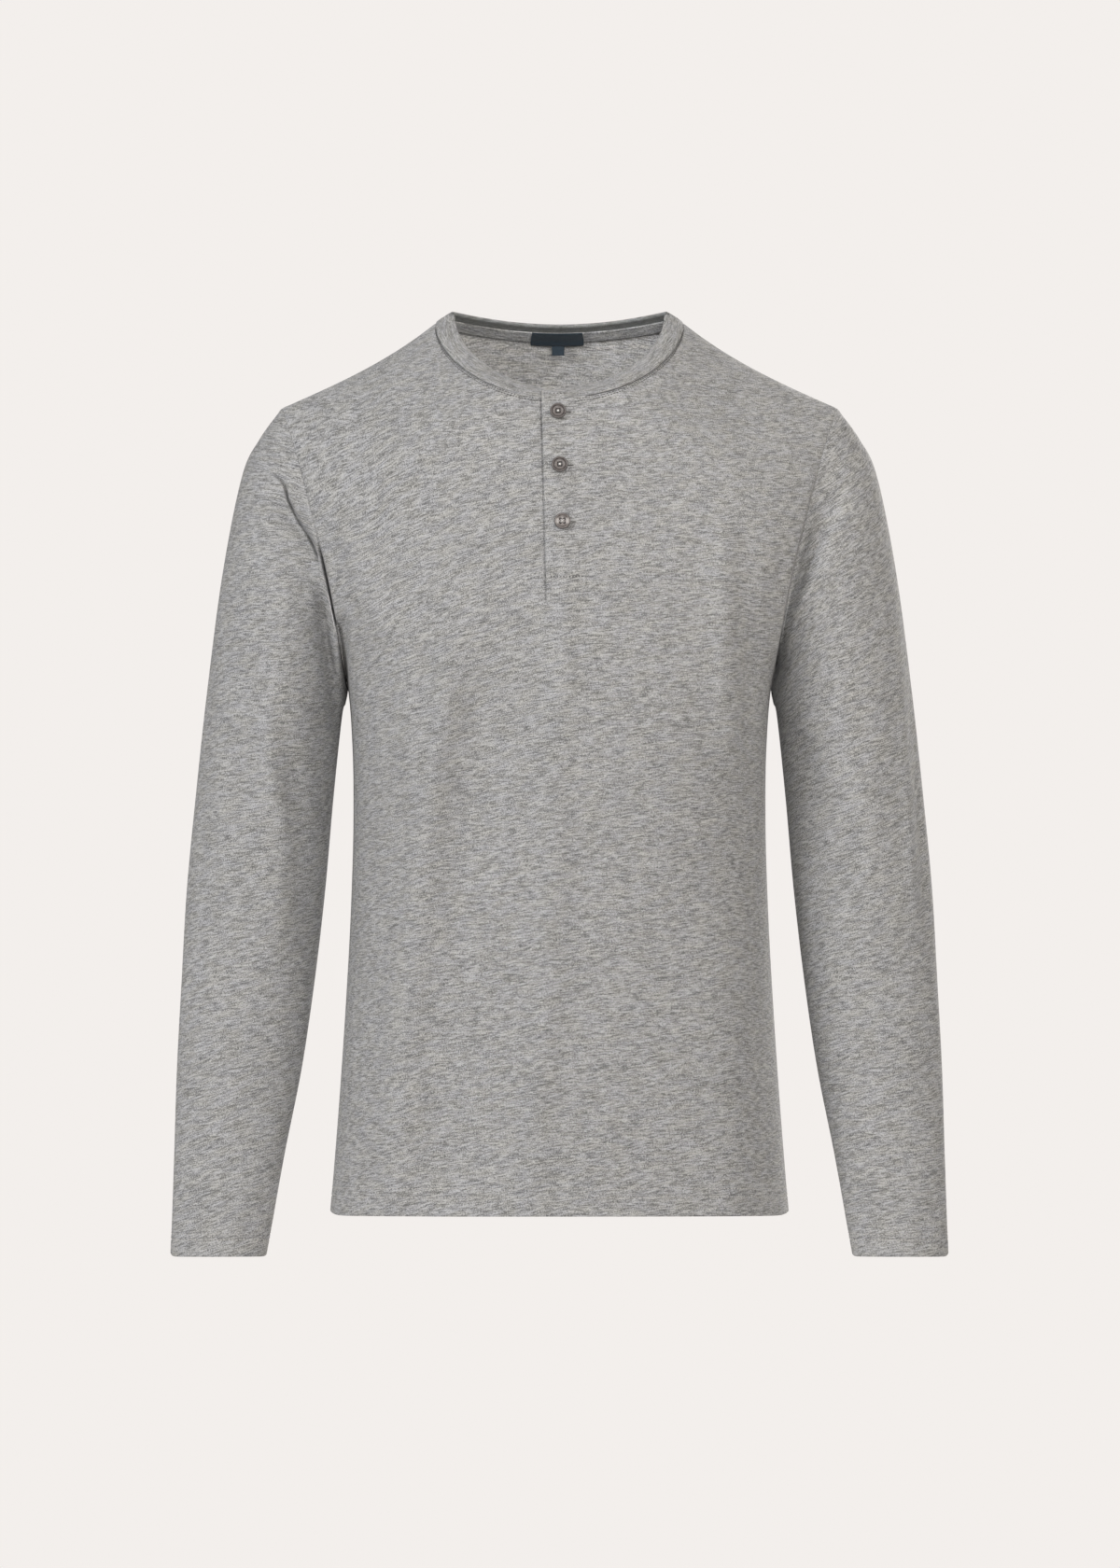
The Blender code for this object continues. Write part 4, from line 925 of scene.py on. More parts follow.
class Finish:
    """A material under construction."""

    def __init__(self, name):
        self.material = bpy.data.materials.new(name)
        self.material.use_nodes = True
        self.tree = self.material.node_tree
        self.shader = self.tree.nodes["Principled BSDF"]

    def feed(self, socket, value):
        """Set a socket to a number or colour, or link it."""
        if isinstance(value, Link):
            self.tree.links.new(value.socket, socket)
        else:
            socket.default_value = value

    def node(self, kind, settings, sockets, output=0):
        """Any node: its settings first, a ramp's stops among them, then its sockets."""
        made = self.tree.nodes.new(kind)
        for name, value in settings.items():
            if name == "stops":
                for k, (position, colour) in enumerate(value):
                    spot = made.color_ramp.elements[k] if k < 2 else made.color_ramp.elements.new(position)
                    spot.position = position
                    spot.color = colour
            else:
                setattr(made, name, value)
        for name, value in sockets.items():
            self.feed(made.inputs[name], value)
        return Link(self, made.outputs[output])

    def math(self, operation, first, second=0.0):
        """A Math node."""
        return self.node("ShaderNodeMath", {"operation": operation}, {0: first, 1: second})

    def clamp(self, value):
        """A number kept between 0 and 1."""
        return self.node("ShaderNodeClamp", {}, {"Value": value})

    def pattern(self):
        """The two coordinates of the piece's UV map, in metres."""
        found = self.node("ShaderNodeUVMap", {"uv_map": UV}, {})
        split = self.node("ShaderNodeSeparateXYZ", {}, {0: found})
        return split, Link(self, split.socket.node.outputs[1])

    def noise(self, x, y, detail=1.0, roughness=0.5):
        """Smooth noise round 0, of about -1 to 1, over two numbers."""
        where = self.node("ShaderNodeCombineXYZ", {}, {0: x, 1: y})
        found = self.node("ShaderNodeTexNoise", {"noise_dimensions": "2D"},
                          {"Vector": where, "Scale": 1.0, "Detail": detail, "Roughness": roughness})
        return (found - 0.5) * 3.0

    def random(self, value):
        """A random number from 0 to 1 for each whole value."""
        return self.node("ShaderNodeTexWhiteNoise", {"noise_dimensions": "1D"}, {"W": value})

    def mix(self, share, first, second):
        """Between two colours."""
        return self.node("ShaderNodeMix", {"data_type": "RGBA"}, {0: share, 6: first, 7: second}, output=2)

    def bump(self, height, distance, strength):
        """Relief from a height of about 0 to 1, standing distance metres."""
        sockets = {"Height": height, "Distance": distance, "Strength": strength}
        self.feed(self.shader.inputs["Normal"], self.node("ShaderNodeBump", {}, sockets))

    def surface(self, **sockets):
        """Set the shader's sockets, named with underscores for spaces."""
        for name, value in sockets.items():
            self.feed(self.shader.inputs[name.replace("_", " ")], value)
        return self.material


def scaled(colour, factor):
    """A colour made lighter or darker, with alpha."""
    return (*(min(channel * factor, 1.0) for channel in colour), 1.0)


def heather(name, colour, contrast=1.0, coarse=1.0, relief=1.0):
    """Heather jersey: knitted rows of light and dark flecks. Each row of the cloth shifts a
    noise of long and short flecks along itself, and wider clouds and streaks shade them."""
    finish = Finish(name)
    u, v = finish.pattern()
    v = v + finish.noise(u * 40.0, v * 60.0) * 0.0006
    row = finish.math("FLOOR", v / (0.00062 * coarse))
    shift = finish.random(row)
    long_flecks = finish.noise(u / (0.0074 * coarse) + shift * 61.0, row * 7.31, 0.0)
    short_flecks = finish.noise(u / (0.00070 * coarse) + shift * 93.0, row * 5.17 + 11.0, 0.0)
    streaks = finish.noise(u / (0.0095 * coarse) + 5.0, v / (0.0009 * coarse))
    clouds = finish.noise(u / 0.030, v / 0.008, 2.0)
    tone = (long_flecks * 0.66 + short_flecks * 0.84 + streaks * 0.26 + clouds * 0.14) * contrast
    tint = finish.clamp(finish.noise(u / 0.018 + 31.0, v / 0.007 + 17.0) * 0.7 + streaks * 0.4 + 0.5)
    bluish = (colour[0] * 0.97, colour[1] * 0.985, colour[2] * 1.05)
    warm, cool = (finish.mix(finish.clamp(tone * 0.5 + 0.5), scaled(shade, 0.48), scaled(shade, 1.60))
                  for shade in (colour, bluish))
    finish.bump(long_flecks * 0.4 + short_flecks * 0.5 + finish.noise(u / 0.0006, v / 0.0006) * 0.3,
                0.00025, 0.5 * relief)
    return finish.surface(Base_Color=finish.mix(tint, warm, cool), Roughness=0.93, Specular_IOR_Level=0.25,
                          Sheen_Weight=0.12, Sheen_Roughness=0.5)


def woven(name, colour, pitch, contrast, roughness, sheen):
    """Fine woven cloth or thread: ribs across the length, uneven from yarn to yarn."""
    finish = Finish(name)
    u, v = finish.pattern()
    yarn = finish.math("FLOOR", v / pitch)
    uneven = finish.noise(u / (pitch * 4) + finish.random(yarn) * 37.0, yarn * 3.1)
    ribs = finish.math("SINE", u * (2 * pi / pitch)) * 0.5 + 0.5
    tone = finish.clamp((uneven * 0.6 + (ribs - 0.5) * 0.4) * contrast + 0.5)
    finish.bump(ribs * 0.6 + uneven * 0.4, 0.00015, 0.5)
    return finish.surface(Base_Color=finish.mix(tone, scaled(colour, 0.6), scaled(colour, 1.4)),
                          Roughness=roughness, Specular_IOR_Level=0.3, Sheen_Weight=sheen)


def thread_finish(name, colour):
    """Twisted sewing thread: fine noise in the piece's own space, in its colour and its relief."""
    finish = Finish(name)
    place = finish.node("ShaderNodeTexCoord", {}, {}, output=3)
    wave = finish.node("ShaderNodeTexNoise", {}, {"Vector": place, "Scale": 2600.0, "Detail": 1.0})
    finish.bump(wave, 0.0001, 0.5)
    return finish.surface(Base_Color=finish.mix(wave, scaled(colour, 0.7), scaled(colour, 1.3)),
                          Roughness=0.7, Specular_IOR_Level=0.3, Sheen_Weight=0.1)


def horn(name, colour, painted_highlight=0.0):
    """Polished horn: slow bands and fine grain across the face, under a thin gloss. On the pearly
    button, two pale crescents are painted left and right inside the rim as painted highlights."""
    finish = Finish(name)
    u, v = finish.pattern()
    bands = finish.noise(u * 260.0 + finish.noise(u * 300.0, v * 300.0) * 0.4, v * 520.0, 2.0)
    grain = finish.noise(u * 900.0, v * 3800.0, 2.0)
    tone = bands * 0.35 + grain * 0.18 + 0.5
    shade = finish.mix(finish.clamp(tone), scaled(colour, 0.62), scaled(colour, 1.5))
    if painted_highlight:
        # Painted highlight: two pale crescents left and right inside the rim, fixed on the face.
        square = u * u + v * v
        beside = finish.clamp((u * u / (square + 1e-9) - 0.5) * 2.0)
        ring = finish.clamp(1 - finish.math("ABSOLUTE", square / 1.9e-5 - 1.0) * 1.6)
        shade = finish.mix(beside * ring * painted_highlight, shade, (0.60, 0.58, 0.56, 1.0))
    finish.bump(grain, 0.00005, 0.25)
    return finish.surface(Base_Color=shade, Roughness=finish.clamp(grain * 0.08 + 0.36),
                          Specular_IOR_Level=0.5, Coat_Weight=0.35, Coat_Roughness=0.25)


@cache
def finish_named(name):
    """The shirt's finishes by name, each made once."""
    cloth = bpy.context.scene.henley_cloth
    trim = bpy.context.scene.henley_trim
    grey = tuple(cloth.heather)
    makers = {
        "heather_jersey": lambda: heather(name, grey, 1.32),
        "heather_band": lambda: heather(name, scaled(grey, 0.97)[:3], 1.1, 0.9),
        # Painted light: the back's heather is set far paler than the face, for light inside the shirt.
        "jersey_inside": lambda: heather(name, tuple(cloth.inside), 1.5, 1.05, 1.6),
        # Painted shade: the band's own heather, made darker and greener for its shaded inner face.
        "band_inside": lambda: heather(name, tuple(trim.band_inside), 0.7, 0.9),
        "tape_cloth": lambda: heather(name, tuple(trim.tape), 1.3, 1.3),
        "label_weave": lambda: woven(name, tuple(trim.label), 0.00042, 0.7, 0.62, 0.2),
        "grey_thread": lambda: thread_finish(name, tuple(trim.thread)),
        "dark_thread": lambda: thread_finish(name, tuple(trim.dark_thread)),
        "pale_thread": lambda: thread_finish(name, (0.62, 0.61, 0.59)),
        "horn_button": lambda: horn(name, tuple(trim.button)),
        "pearl_button": lambda: horn(name, scaled(trim.button, 1.25)[:3], 0.9),
        # Painted shade: the horn darkened for the buttons' rims, hole wells and groove.
        "horn_edge": lambda: horn(name, scaled(trim.button, 0.42)[:3]),
    }
    return makers[name]()


def jersey_finishes():
    """The jersey's face, and its back, which is painted far paler than the face as painted light inside the
    shirt.
    """
    return [finish_named("heather_jersey"), finish_named("jersey_inside")]


# ---------------------------------------------------------------- settings
def colour_setting(name, description, default):
    """A colour property."""
    return bpy.props.FloatVectorProperty(name=name, description=description, default=default,
                                         subtype="COLOR", size=3, min=0.0, max=1.0)


def length_setting(name, description, default):
    """A length property, in metres."""
    return bpy.props.FloatProperty(name=name, description=description, default=default,
                                   min=0.0, subtype="DISTANCE", unit="LENGTH")


class HenleyCloth(bpy.types.PropertyGroup):
    """The jersey's size and colours."""

    thickness: length_setting("Cloth", "Thickness of the panels' jersey", 0.0009)
    heather: colour_setting("Heather", "Middle grey of the jersey's face", (0.2560, 0.2551, 0.2466))
    # Painted light: far paler than the face, so that the inside of the shirt, where little light reaches,
    # looks lit.
    inside: colour_setting("Inside", "Middle grey of the jersey's back", (0.620, 0.612, 0.588))


class HenleyTrim(bpy.types.PropertyGroup):
    """Colours and sizes of what is sewn to the jersey."""

    # Painted shade: darker and greener than the band's face, for the shade on the band's inner face; the
    # cloth is the same.
    band_inside: colour_setting("Band inside", "Inner face of the neckband", (0.190, 0.196, 0.186))
    tape: colour_setting("Tape", "Neck tape", (0.375, 0.376, 0.368))
    label: colour_setting("Label", "Bare woven label and size tab", (0.0125, 0.0260, 0.0400))
    thread: colour_setting("Thread", "Thread of the hems", (0.42, 0.41, 0.39))
    # Partly painted shade: near-black for the thread itself and for the shade in its needle holes.
    dark_thread: colour_setting("Dark thread", "Thread and needle holes of the collar and placket",
                                (0.050, 0.048, 0.047))
    button: colour_setting("Button", "Horn of the buttons", (0.122, 0.108, 0.103))
    stitch: length_setting("Stitch", "Length of a hem stitch", 0.0030)


class HenleyStudio(bpy.types.PropertyGroup):
    """Light, floor and camera."""

    backdrop: colour_setting("Backdrop", "Colour of the surroundings", (0.896, 0.863, 0.838))
    fill: bpy.props.FloatProperty(name="Fill", description="Strength of the light from all round",
                                  default=0.38, min=0.0)
    key_power: bpy.props.FloatProperty(name="Key", description="Power of the front light",
                                       default=150.0, min=0.0, unit="POWER")
    floor_height: bpy.props.FloatProperty(name="Floor", description="Height of the floor",
                                          default=-1.1, subtype="DISTANCE", unit="LENGTH")
    camera_distance: length_setting("Camera", "Distance of the camera from the shirt", 30.0)


# ---------------------------------------------------------------- operators
class HENLEY_OT_panels(bpy.types.Operator):
    """Make the front and the back"""

    bl_idname = "henley.panels"
    bl_label = "Front and back"

    def execute(self, context):
        rows = np.arange(0, int(np.argmax(lower_rows() > HEM_TOP)), 2)
        for name, panel, shift, lean, length, area in (
                ("front", front_panel(), -HALF_GAP, lean_front, 0.73, 0.322),
                ("back", back_panel(), HALF_GAP, lambda x, z: -0.05 * x, 0.75, 0.327)):
            grid, out, x, z, neck = panel[:5]
            cells = np.ones((grid.shape[0] - 1, grid.shape[1] - 1), bool)
            if name == "front":
                first = panel[5]
                cells[row_near(SLIT_BOTTOM_Z):, first + SLIT_FIRST:first + SLIT_LAST] = False
            uv = panel_uv(grid, x, z, lean)
            hem = [part[::-1] for part in hemmed(grid, out, uv, rows)]
            grid, out, uv = (np.concatenate(pair) for pair in zip(hem, (grid, out, uv)))
            cells = np.vstack([np.ones((len(hem[0]), cells.shape[1]), bool), cells])
            grid, uv, cells = with_allowance(grid + shift, out, uv, cells, neck)
            mesh = grid_mesh(f"{name}_cloth", grid, uv, cells)
            piece = put(mesh, jersey_finishes(), [name])
            thicken(piece, context.scene.henley_cloth.thickness)
        return {"FINISHED"}


class HENLEY_OT_sleeves(bpy.types.Operator):
    """Make both sleeves"""

    bl_idname = "henley.sleeves"
    bl_label = "Sleeves"

    def execute(self, context):
        for name, side, slopes in (("sleeve_left", 1, (0.36, 0.18)), ("sleeve_right", -1, (0.12, 0.26))):
            grid, out, z = sleeve_surface(side)
            uv = sleeve_uv(grid, *slopes, -side)
            rows = np.nonzero(z[:, 0] < CUFF_TOP)[0][::-2]
            cuff = hemmed(grid, out, uv, rows)
            turned = grid[:1] - out[:1] * np.array(ALLOWANCE[::-1])[:, None, None]
            grid = np.concatenate([turned, grid, cuff[0]]) * np.array([side, 1.0, 1.0])
            uv = np.concatenate([uv[:1], uv[:1], uv[:1], uv, cuff[2]])
            mesh = grid_mesh(f"{name}_cloth", grid, uv, closed=True, flipped=side < 0)
            piece = put(mesh, jersey_finishes(), [name])
            thicken(piece, context.scene.henley_cloth.thickness)
        return {"FINISHED"}


class HENLEY_OT_neckband(bpy.types.Operator):
    """Make the folded neckband with its lapped ends"""

    bl_idname = "henley.neckband"
    bl_label = "Neckband"

    def execute(self, context):
        seam, rise, band_out, shared = collar_ring()
        front_neck, first = front_panel()[4:6]
        start = first + int(np.argmin(np.abs(PLACKET_OFFSETS - BAND_START))) - front_neck.start
        path = (start + np.arange(len(seam) + BAND_LAP + 1)) % len(seam)
        way = travelled(seam[path], 0)
        over = 1 - ease((way - way[BAND_LAP]) / BAND_TAPER)
        under = 1 - ease((way[-1] - way[BAND_LAP] - way) / BAND_TAPER)
        offset = BAND_ENDS[0] * over - BAND_ENDS[1] * under
        rounded = 1 - np.clip(np.minimum(way, way[-1] - way) / 0.0016, 0.0, 1.0)
        slim = (1 - 0.38 * np.maximum(over, under)) * np.sqrt(1 - rounded**2 * 0.97)

        # The section: up the outer face, round the folded top, down the inner face.
        half = BAND_CLOTH / 2 * 0.92
        face = np.linspace(0.0, 1.0, 14)
        fold = np.linspace(0.0, pi, 8)[1:-1]
        up = np.concatenate([face * (BAND_WIDTH - half), BAND_WIDTH - half + half * np.sin(fold),
                             face[::-1] * (BAND_WIDTH - half)])
        thick = np.concatenate([np.full(len(face), half), half * np.cos(fold), np.full(len(face), -half)])
        swell = BAND_ROLL * np.sin(pi * np.clip(up / BAND_WIDTH, 0, 1)) + 0.00022 * bell(up - 0.0016, 0.0010)
        swell = swell - 0.00040 * bell(up, 0.0009)
        # The two ends meet in a shallow V: the band is lowest where they cross.
        from_notch = np.abs(seam[:, 0] - seam[start, 0]) / BAND_NOTCH_REACH
        notch = BAND_NOTCH * np.clip(1 - from_notch, 0.0, 1.0) ** 1.7 * (seam[:, 1] < 0)
        reach = (SEAM_GAP * 1.3 + up)[:, None] * (1 - notch[path] / BAND_WIDTH)
        blend = ease(up / 0.006)[:, None, None]
        out = unit(shared[path][None] * (1 - blend) + band_out[path][None] * blend)
        middle = offset[None, :] - BAND_CLOTH / 2
        grid = (seam[path][None] + reach[..., None] * rise[path][None]
                + (middle + swell[:, None] + thick[:, None] * slim)[..., None] * out)
        section = np.concatenate([[0.0], np.cumsum(np.hypot(np.diff(up), np.diff(thick)))])
        uv = np.stack(np.meshgrid(way, section, indexing="ij"), axis=-1)
        mesh = grid_mesh("neckband_cloth", np.swapaxes(grid, 0, 1), uv)
        steps = len(up) - 1
        inner = np.arange(len(mesh.polygons)) % steps > steps // 2
        # The inner face's half of the section takes the painted-shade finish.
        mesh.polygons.foreach_set("material_index", np.where(inner, 2, 0))
        outside, inside = finish_named("heather_band"), finish_named("band_inside")
        band = put(mesh, [outside, outside, inside, inside], ["neckband"])
        thicken(band, BAND_WALL)
        return {"FINISHED"}


def across_placket(values, offsets):
    """The front's values at distances from the placket's line: straight between its columns."""
    first = front_panel()[5]
    at = PLACKET_OFFSETS
    known = values[:, first:first + len(at)]
    left = np.clip(np.searchsorted(at, offsets, side="right") - 1, 0, len(at) - 2)
    share = ((offsets - at[left]) / (at[left + 1] - at[left]))[:, None]
    return known[:, left] * (1 - share) + known[:, left + 1] * share


def strip_grid(rows, offsets, lift):
    """Part of the front's surface at the placket moved out by lift."""
    grid, out = front_panel()[:2]
    spot, away = across_placket(grid[rows], offsets), across_placket(out[rows], offsets)
    return spot - HALF_GAP + unit(away) * lift[..., None]


def row_near(height):
    """The front's row whose height on the placket is nearest."""
    share = (height - UNDERARM_Z) / (-NECK_DROP_FRONT - UNDERARM_Z)
    return len(lower_rows()) + int(np.argmin(np.abs(upper_rows() - share)))


@cache
def over_strip():
    """The over strip, folded double, as a closed tube: its section runs along the inner face to
    the free edge, round it and back to the sewn edge, where a thin lip lies on the front. Its
    top runs up on the neckband, with one round corner. Returns its points, its UVs and how far
    each row has climbed from the foot."""
    grid, _, x, z, _, first = front_panel()
    rows = slice(row_near(PLACKET_BOTTOM_Z), grid.shape[0])
    half, left, right = STRIP_HALF, -PLACKET_HALF_WIDTH, SLIT_EDGES[1]
    turn = np.linspace(-pi / 2, pi / 2, 8)
    lip = PLACKET_OFFSETS[SLIT_LAST + 1:]
    back, face = np.linspace(right, left + half, 12)[:-1], np.linspace(left + half, right, 16)[1:]
    offsets = np.concatenate([lip[::-1], back, left + half * (1 - np.cos(turn)), face, lip])
    thick = np.concatenate([np.full(len(lip) + len(back), -half), half * np.sin(turn),
                            np.full(len(face) + len(lip), half)])
    sewn = ease((offsets - SLIT_EDGES[0]) / (right - SLIT_EDGES[0]))
    climbed = travelled(grid[:, first + PLACKET_EDGE], 0)[rows]
    climbed = (climbed - climbed[0])[:, None]
    groove = 0.0009 * bell(climbed[-1] - climbed, 0.0012)
    boxed = 1 - ease((climbed - 0.0205) / 0.0015)
    middle = STRIP_CLEAR + STRIP_PLY - (STRIP_CLEAR + STRIP_PLY + half) * sewn * (1 - 0.45 * boxed)
    middle = middle * (0.1 + 0.9 * ease(climbed / 0.0022))
    rounded = np.sqrt(np.clip(1 - (1 - np.clip(climbed / 0.0012, 0.0, 1.0)) ** 2, 0.02, 1.0))
    lift = middle + thick * rounded
    on_lip = offsets > right + 1e-6
    lift = np.where(on_lip, -0.0012 * boxed + 0.00005 * (1 - boxed) + 0.05 * (thick - half), lift)
    over = strip_grid(rows, offsets, lift + groove)
    uv = across_placket(panel_uv(grid, x, z, lean_front)[rows], offsets)

    seam, rise, band_out, _ = collar_ring()
    nearest = int(np.argmin(np.abs(seam[:, 0] - PLACKET_LEAN[0]) + (seam[:, 1] > 0)))
    up = np.linspace(0.0, STRIP_TOP, 16)[1:, None]
    into = np.clip(up - STRIP_TOP + STRIP_CORNER, 0.0, STRIP_CORNER * 0.98)
    corner = STRIP_CORNER - np.sqrt(STRIP_CORNER**2 - into**2)
    top = np.repeat(over[-1:], len(up), axis=0) + rise[nearest] * up[..., None]
    clear = 0.0009 * ease(up / 0.005) - 0.0002 * ease((up - 0.006) / 0.002)
    top = top + band_out[nearest] * clear[..., None]
    top[..., 0] += corner * (right - offsets) / (right - left)
    over = np.concatenate([over, top])
    uv = np.concatenate([uv, uv[-1:] + np.concatenate([0 * up, up], axis=1)[:, None]])
    climbed = np.append(climbed[:, 0], climbed[-1, 0] + up[:, 0])
    return over, np.concatenate([uv, uv[:, :1]], axis=1), climbed


class HENLEY_OT_placket(bpy.types.Operator):
    """Make both placket strips"""

    bl_idname = "henley.placket"
    bl_label = "Placket"

    def execute(self, context):
        over, way, _ = over_strip()
        mesh = grid_mesh("placket_over_cloth", over, way, closed=True, capped=True)
        piece = put(mesh, jersey_finishes()[:1], ["placket_over"])
        mesh.set_sharp_from_angle(angle=1.0)

        # Under strip: behind it, level with the front at its own sewn edge.
        grid, _, x, z, _, _ = front_panel()
        rows = slice(row_near(SLIT_BOTTOM_Z), grid.shape[0])
        offsets = np.linspace(SLIT_EDGES[0] + STRIP_CLEAR, 0.011, 10)
        lift = np.interp(offsets, (-0.011, -0.0055, 0.0, 0.0055, 0.011),
                         (0.0, -0.0005, -0.0012, -0.0018, -0.0022))
        under = strip_grid(rows, offsets, np.repeat(lift[None], rows.stop - rows.start, axis=0))
        under[0, :, 2] += STRIP_CLEAR
        under[-1, :, 2] -= STRIP_CLEAR
        uv = panel_uv(grid, x, z, lean_front)
        mesh = grid_mesh("placket_under_cloth", under, across_placket(uv[rows], offsets))
        piece = put(mesh, jersey_finishes(), ["placket_under"])
        thicken(piece, UNDER_STRIP_WALL)
        return {"FINISHED"}


def placket_spot(offset, height, lift):
    """A point above the over strip and the directions right, up and out there."""
    x = placket_line(height) + offset
    grid = body_points(FRONT, np.array([x - 0.004, x, x + 0.004]), np.full(3, height))
    tall = body_points(FRONT, np.full(3, x), height + np.array([-0.006, 0.0, 0.006]))
    right, up = unit(grid[2] - grid[0]), unit(tall[2] - tall[0])
    out = unit(np.cross(right, up))
    return grid[1] - HALF_GAP + out * lift, right, up, out


@cache
def inner_neck():
    """The collar seam at the back: its points and the directions up the band, down the panel
    and out of each of the two."""
    seam, rise, band_out, _ = collar_ring()
    back, _, _, _, neck = back_panel()
    path = slice(len(seam) - (neck.stop - neck.start - 2), None)
    x = back[-1, neck, 0][1:-1]
    below = unit(body_points(BACK, x, neck_height(BACK, x) - 0.008) - seam[path])
    panel_out = unit(np.cross(np.gradient(seam[path], axis=0), -below))
    return seam[path], rise[path], below, band_out[path], panel_out


def inner_line(down, inside, x_at):
    """Points on the inside of the neck, down metres below the seam, or above it where down is
    negative, and inside metres in from the outer face."""
    seam, rise, below, band_out, panel_out = inner_neck()

    def read(values):
        return np.stack([np.interp(x_at, seam[::-1, 0], values[::-1, k]) for k in range(3)], axis=1)

    share = ease((down + 0.0030) / 0.0060)
    out = unit(read(band_out) * (1 - share) + read(panel_out) * share)
    way = read(below) * max(down, 0.0) + read(rise) * max(-down, 0.0)
    return read(seam) + way - out * inside


def inner_strip(node, grid, along, finish, thickness):
    """A thin piece inside the neck, its pattern read across it and by along."""
    across = travelled(grid, 1)
    uv = np.stack([across, np.broadcast_to(along, across.shape)], axis=-1)
    piece = put(grid_mesh(f"{node}_cloth", grid, uv), [finish_named(finish)] * 2, [node])
    thicken(piece, thickness)
    return piece


class HENLEY_OT_neck_tape(bpy.types.Operator):
    """Make the neck tape, the bare label and the size tab"""

    bl_idname = "henley.neck_tape"
    bl_label = "Neck tape and label"

    def execute(self, context):
        x_at = inner_neck()[0][:, 0]
        downs = np.linspace(TAPE_DOWN, -TAPE_UP, 13)
        bulges = BAND_CLOTH - (BAND_CLOTH - CLOTH) * ease(downs / TAPE_DOWN)
        grid = np.stack([inner_line(down, BEHIND + bulge, x_at) for down, bulge in zip(downs, bulges)])
        tape = inner_strip("neck_tape", grid, -downs[:, None], "tape_cloth", TAPE_CLOTH * 0.8)

        inside = BAND_CLOTH + BEHIND + TAPE_CLOTH + BEHIND
        x_at = np.linspace(LABEL_MIDDLE + LABEL_HALF_WIDTH, LABEL_MIDDLE - LABEL_HALF_WIDTH, 40)
        downs = np.linspace(LABEL_DOWN, -LABEL_UP, 14)
        grid = np.stack([inner_line(down, inside, x_at) for down in downs])
        label = inner_strip("label", grid, -downs[:, None], "label_weave", LABEL_CLOTH)

        x_at = np.linspace(TAB_MIDDLE + TAB_HALF_WIDTH, TAB_MIDDLE - TAB_HALF_WIDTH, 12)
        drop = np.linspace(TAB_LENGTH, 0.0, 12)[:, None, None] + SEAM_GAP * 2.5
        grid = inner_line(LABEL_DOWN, inside, x_at)[None] - drop * np.array([0.0, 0.0, 1.0])
        tab = inner_strip("size_tab", grid, travelled(grid, 0), "label_weave", LABEL_CLOTH)
        return {"FINISHED"}


class HENLEY_OT_buttons(bpy.types.Operator):
    """Make the three sewn buttons"""

    bl_idname = "henley.buttons"
    bl_label = "Buttons"

    def execute(self, context):
        # The profile: from the middle of the face over its rings to the rim, and back behind.
        half, radius = BUTTON_THICKNESS / 2, BUTTON_RADIUS
        share = np.concatenate([np.linspace(0.02, 0.60, 22), np.linspace(0.60, 0.97, 22)[1:]])
        face_r = share * radius
        face_z = half * (0.22 + 0.55 * bell(share - 0.88, 0.075) - 0.42 * bell(share - 0.74, 0.045)
                         + 0.26 * bell(share - 0.62, 0.045) - 0.12 * bell(share, 0.35))
        edge_r = np.array([1.0, 1.0, 0.965, 0.85, 0.70, 0.4, 0.02]) * radius
        edge_z = half * np.array([0.30, -0.05, -0.35, -0.75, -1.0, -1.0, -1.0])
        turn = np.arange(72) / 72 * 2 * pi
        r, height = np.append(face_r, edge_r)[:, None], np.append(face_z, edge_z)[:, None]
        flat_x, flat_y = r * np.cos(turn), r * np.sin(turn)
        on_face = (np.arange(len(r)) < len(face_r))[:, None]
        ring = np.append(turn, 2 * pi)
        uv = np.stack([r * np.cos(ring), r * np.sin(ring)], axis=-1)
        for index, button in enumerate(BUTTONS, start=1):
            apart = button.apart
            wells = sum(1 - ease((np.hypot(flat_x - sx * apart, flat_y - sy * apart) - button.hole) / 0.00030)
                        for sx in (1, -1) for sy in (1, -1))
            dished = height - np.where(on_face, 0.0014 * np.clip(wells, 0.0, 1.0), 0.0)
            lift = STRIP_CLEAR + CLOTH + BUTTON_CLEAR + half
            centre, right, up, out = placket_spot(button.offset, button.height, lift)
            grid = centre + flat_x[..., None] * right + flat_y[..., None] * up + dished[..., None] * out
            mesh = grid_mesh(f"button_{index}_horn", grid, uv, closed=True, capped=True, flipped=True)
            # The rim, the holes' wells and, on horn, the groove are painted darker with a darkened horn, as
            # painted shade.
            ring_of = np.minimum(np.arange(len(mesh.polygons)) // len(turn), len(r) - 2)
            dark = ring_of >= len(face_r) - 3
            dark = dark | (on_face * wells > 0.35)[ring_of, np.arange(len(mesh.polygons)) % len(turn)]
            if button.finish == "horn_button":
                dark = dark | (np.abs(r[ring_of, 0] / radius - 0.74) < 0.035)
            mesh.polygons.foreach_set("material_index", dark.astype(int))
            put(mesh, [finish_named(button.finish), finish_named("horn_edge")], [f"button_{index}"])
            ends = np.array([[1, 1], [-1, 1]]) * apart
            ahead = unit(ends[:, :1] * right + ends[:, 1:] * up)
            spot = np.repeat((centre + out * half * 0.25)[None], 2, axis=0)
            row = (spot, ahead, np.repeat(out[None], 2, axis=0), 2.7 * apart, button.thread, 0.00035)
            stitch_piece(f"button_{index}_thread", [row], finish_named("pale_thread"))
        return {"FINISHED"}


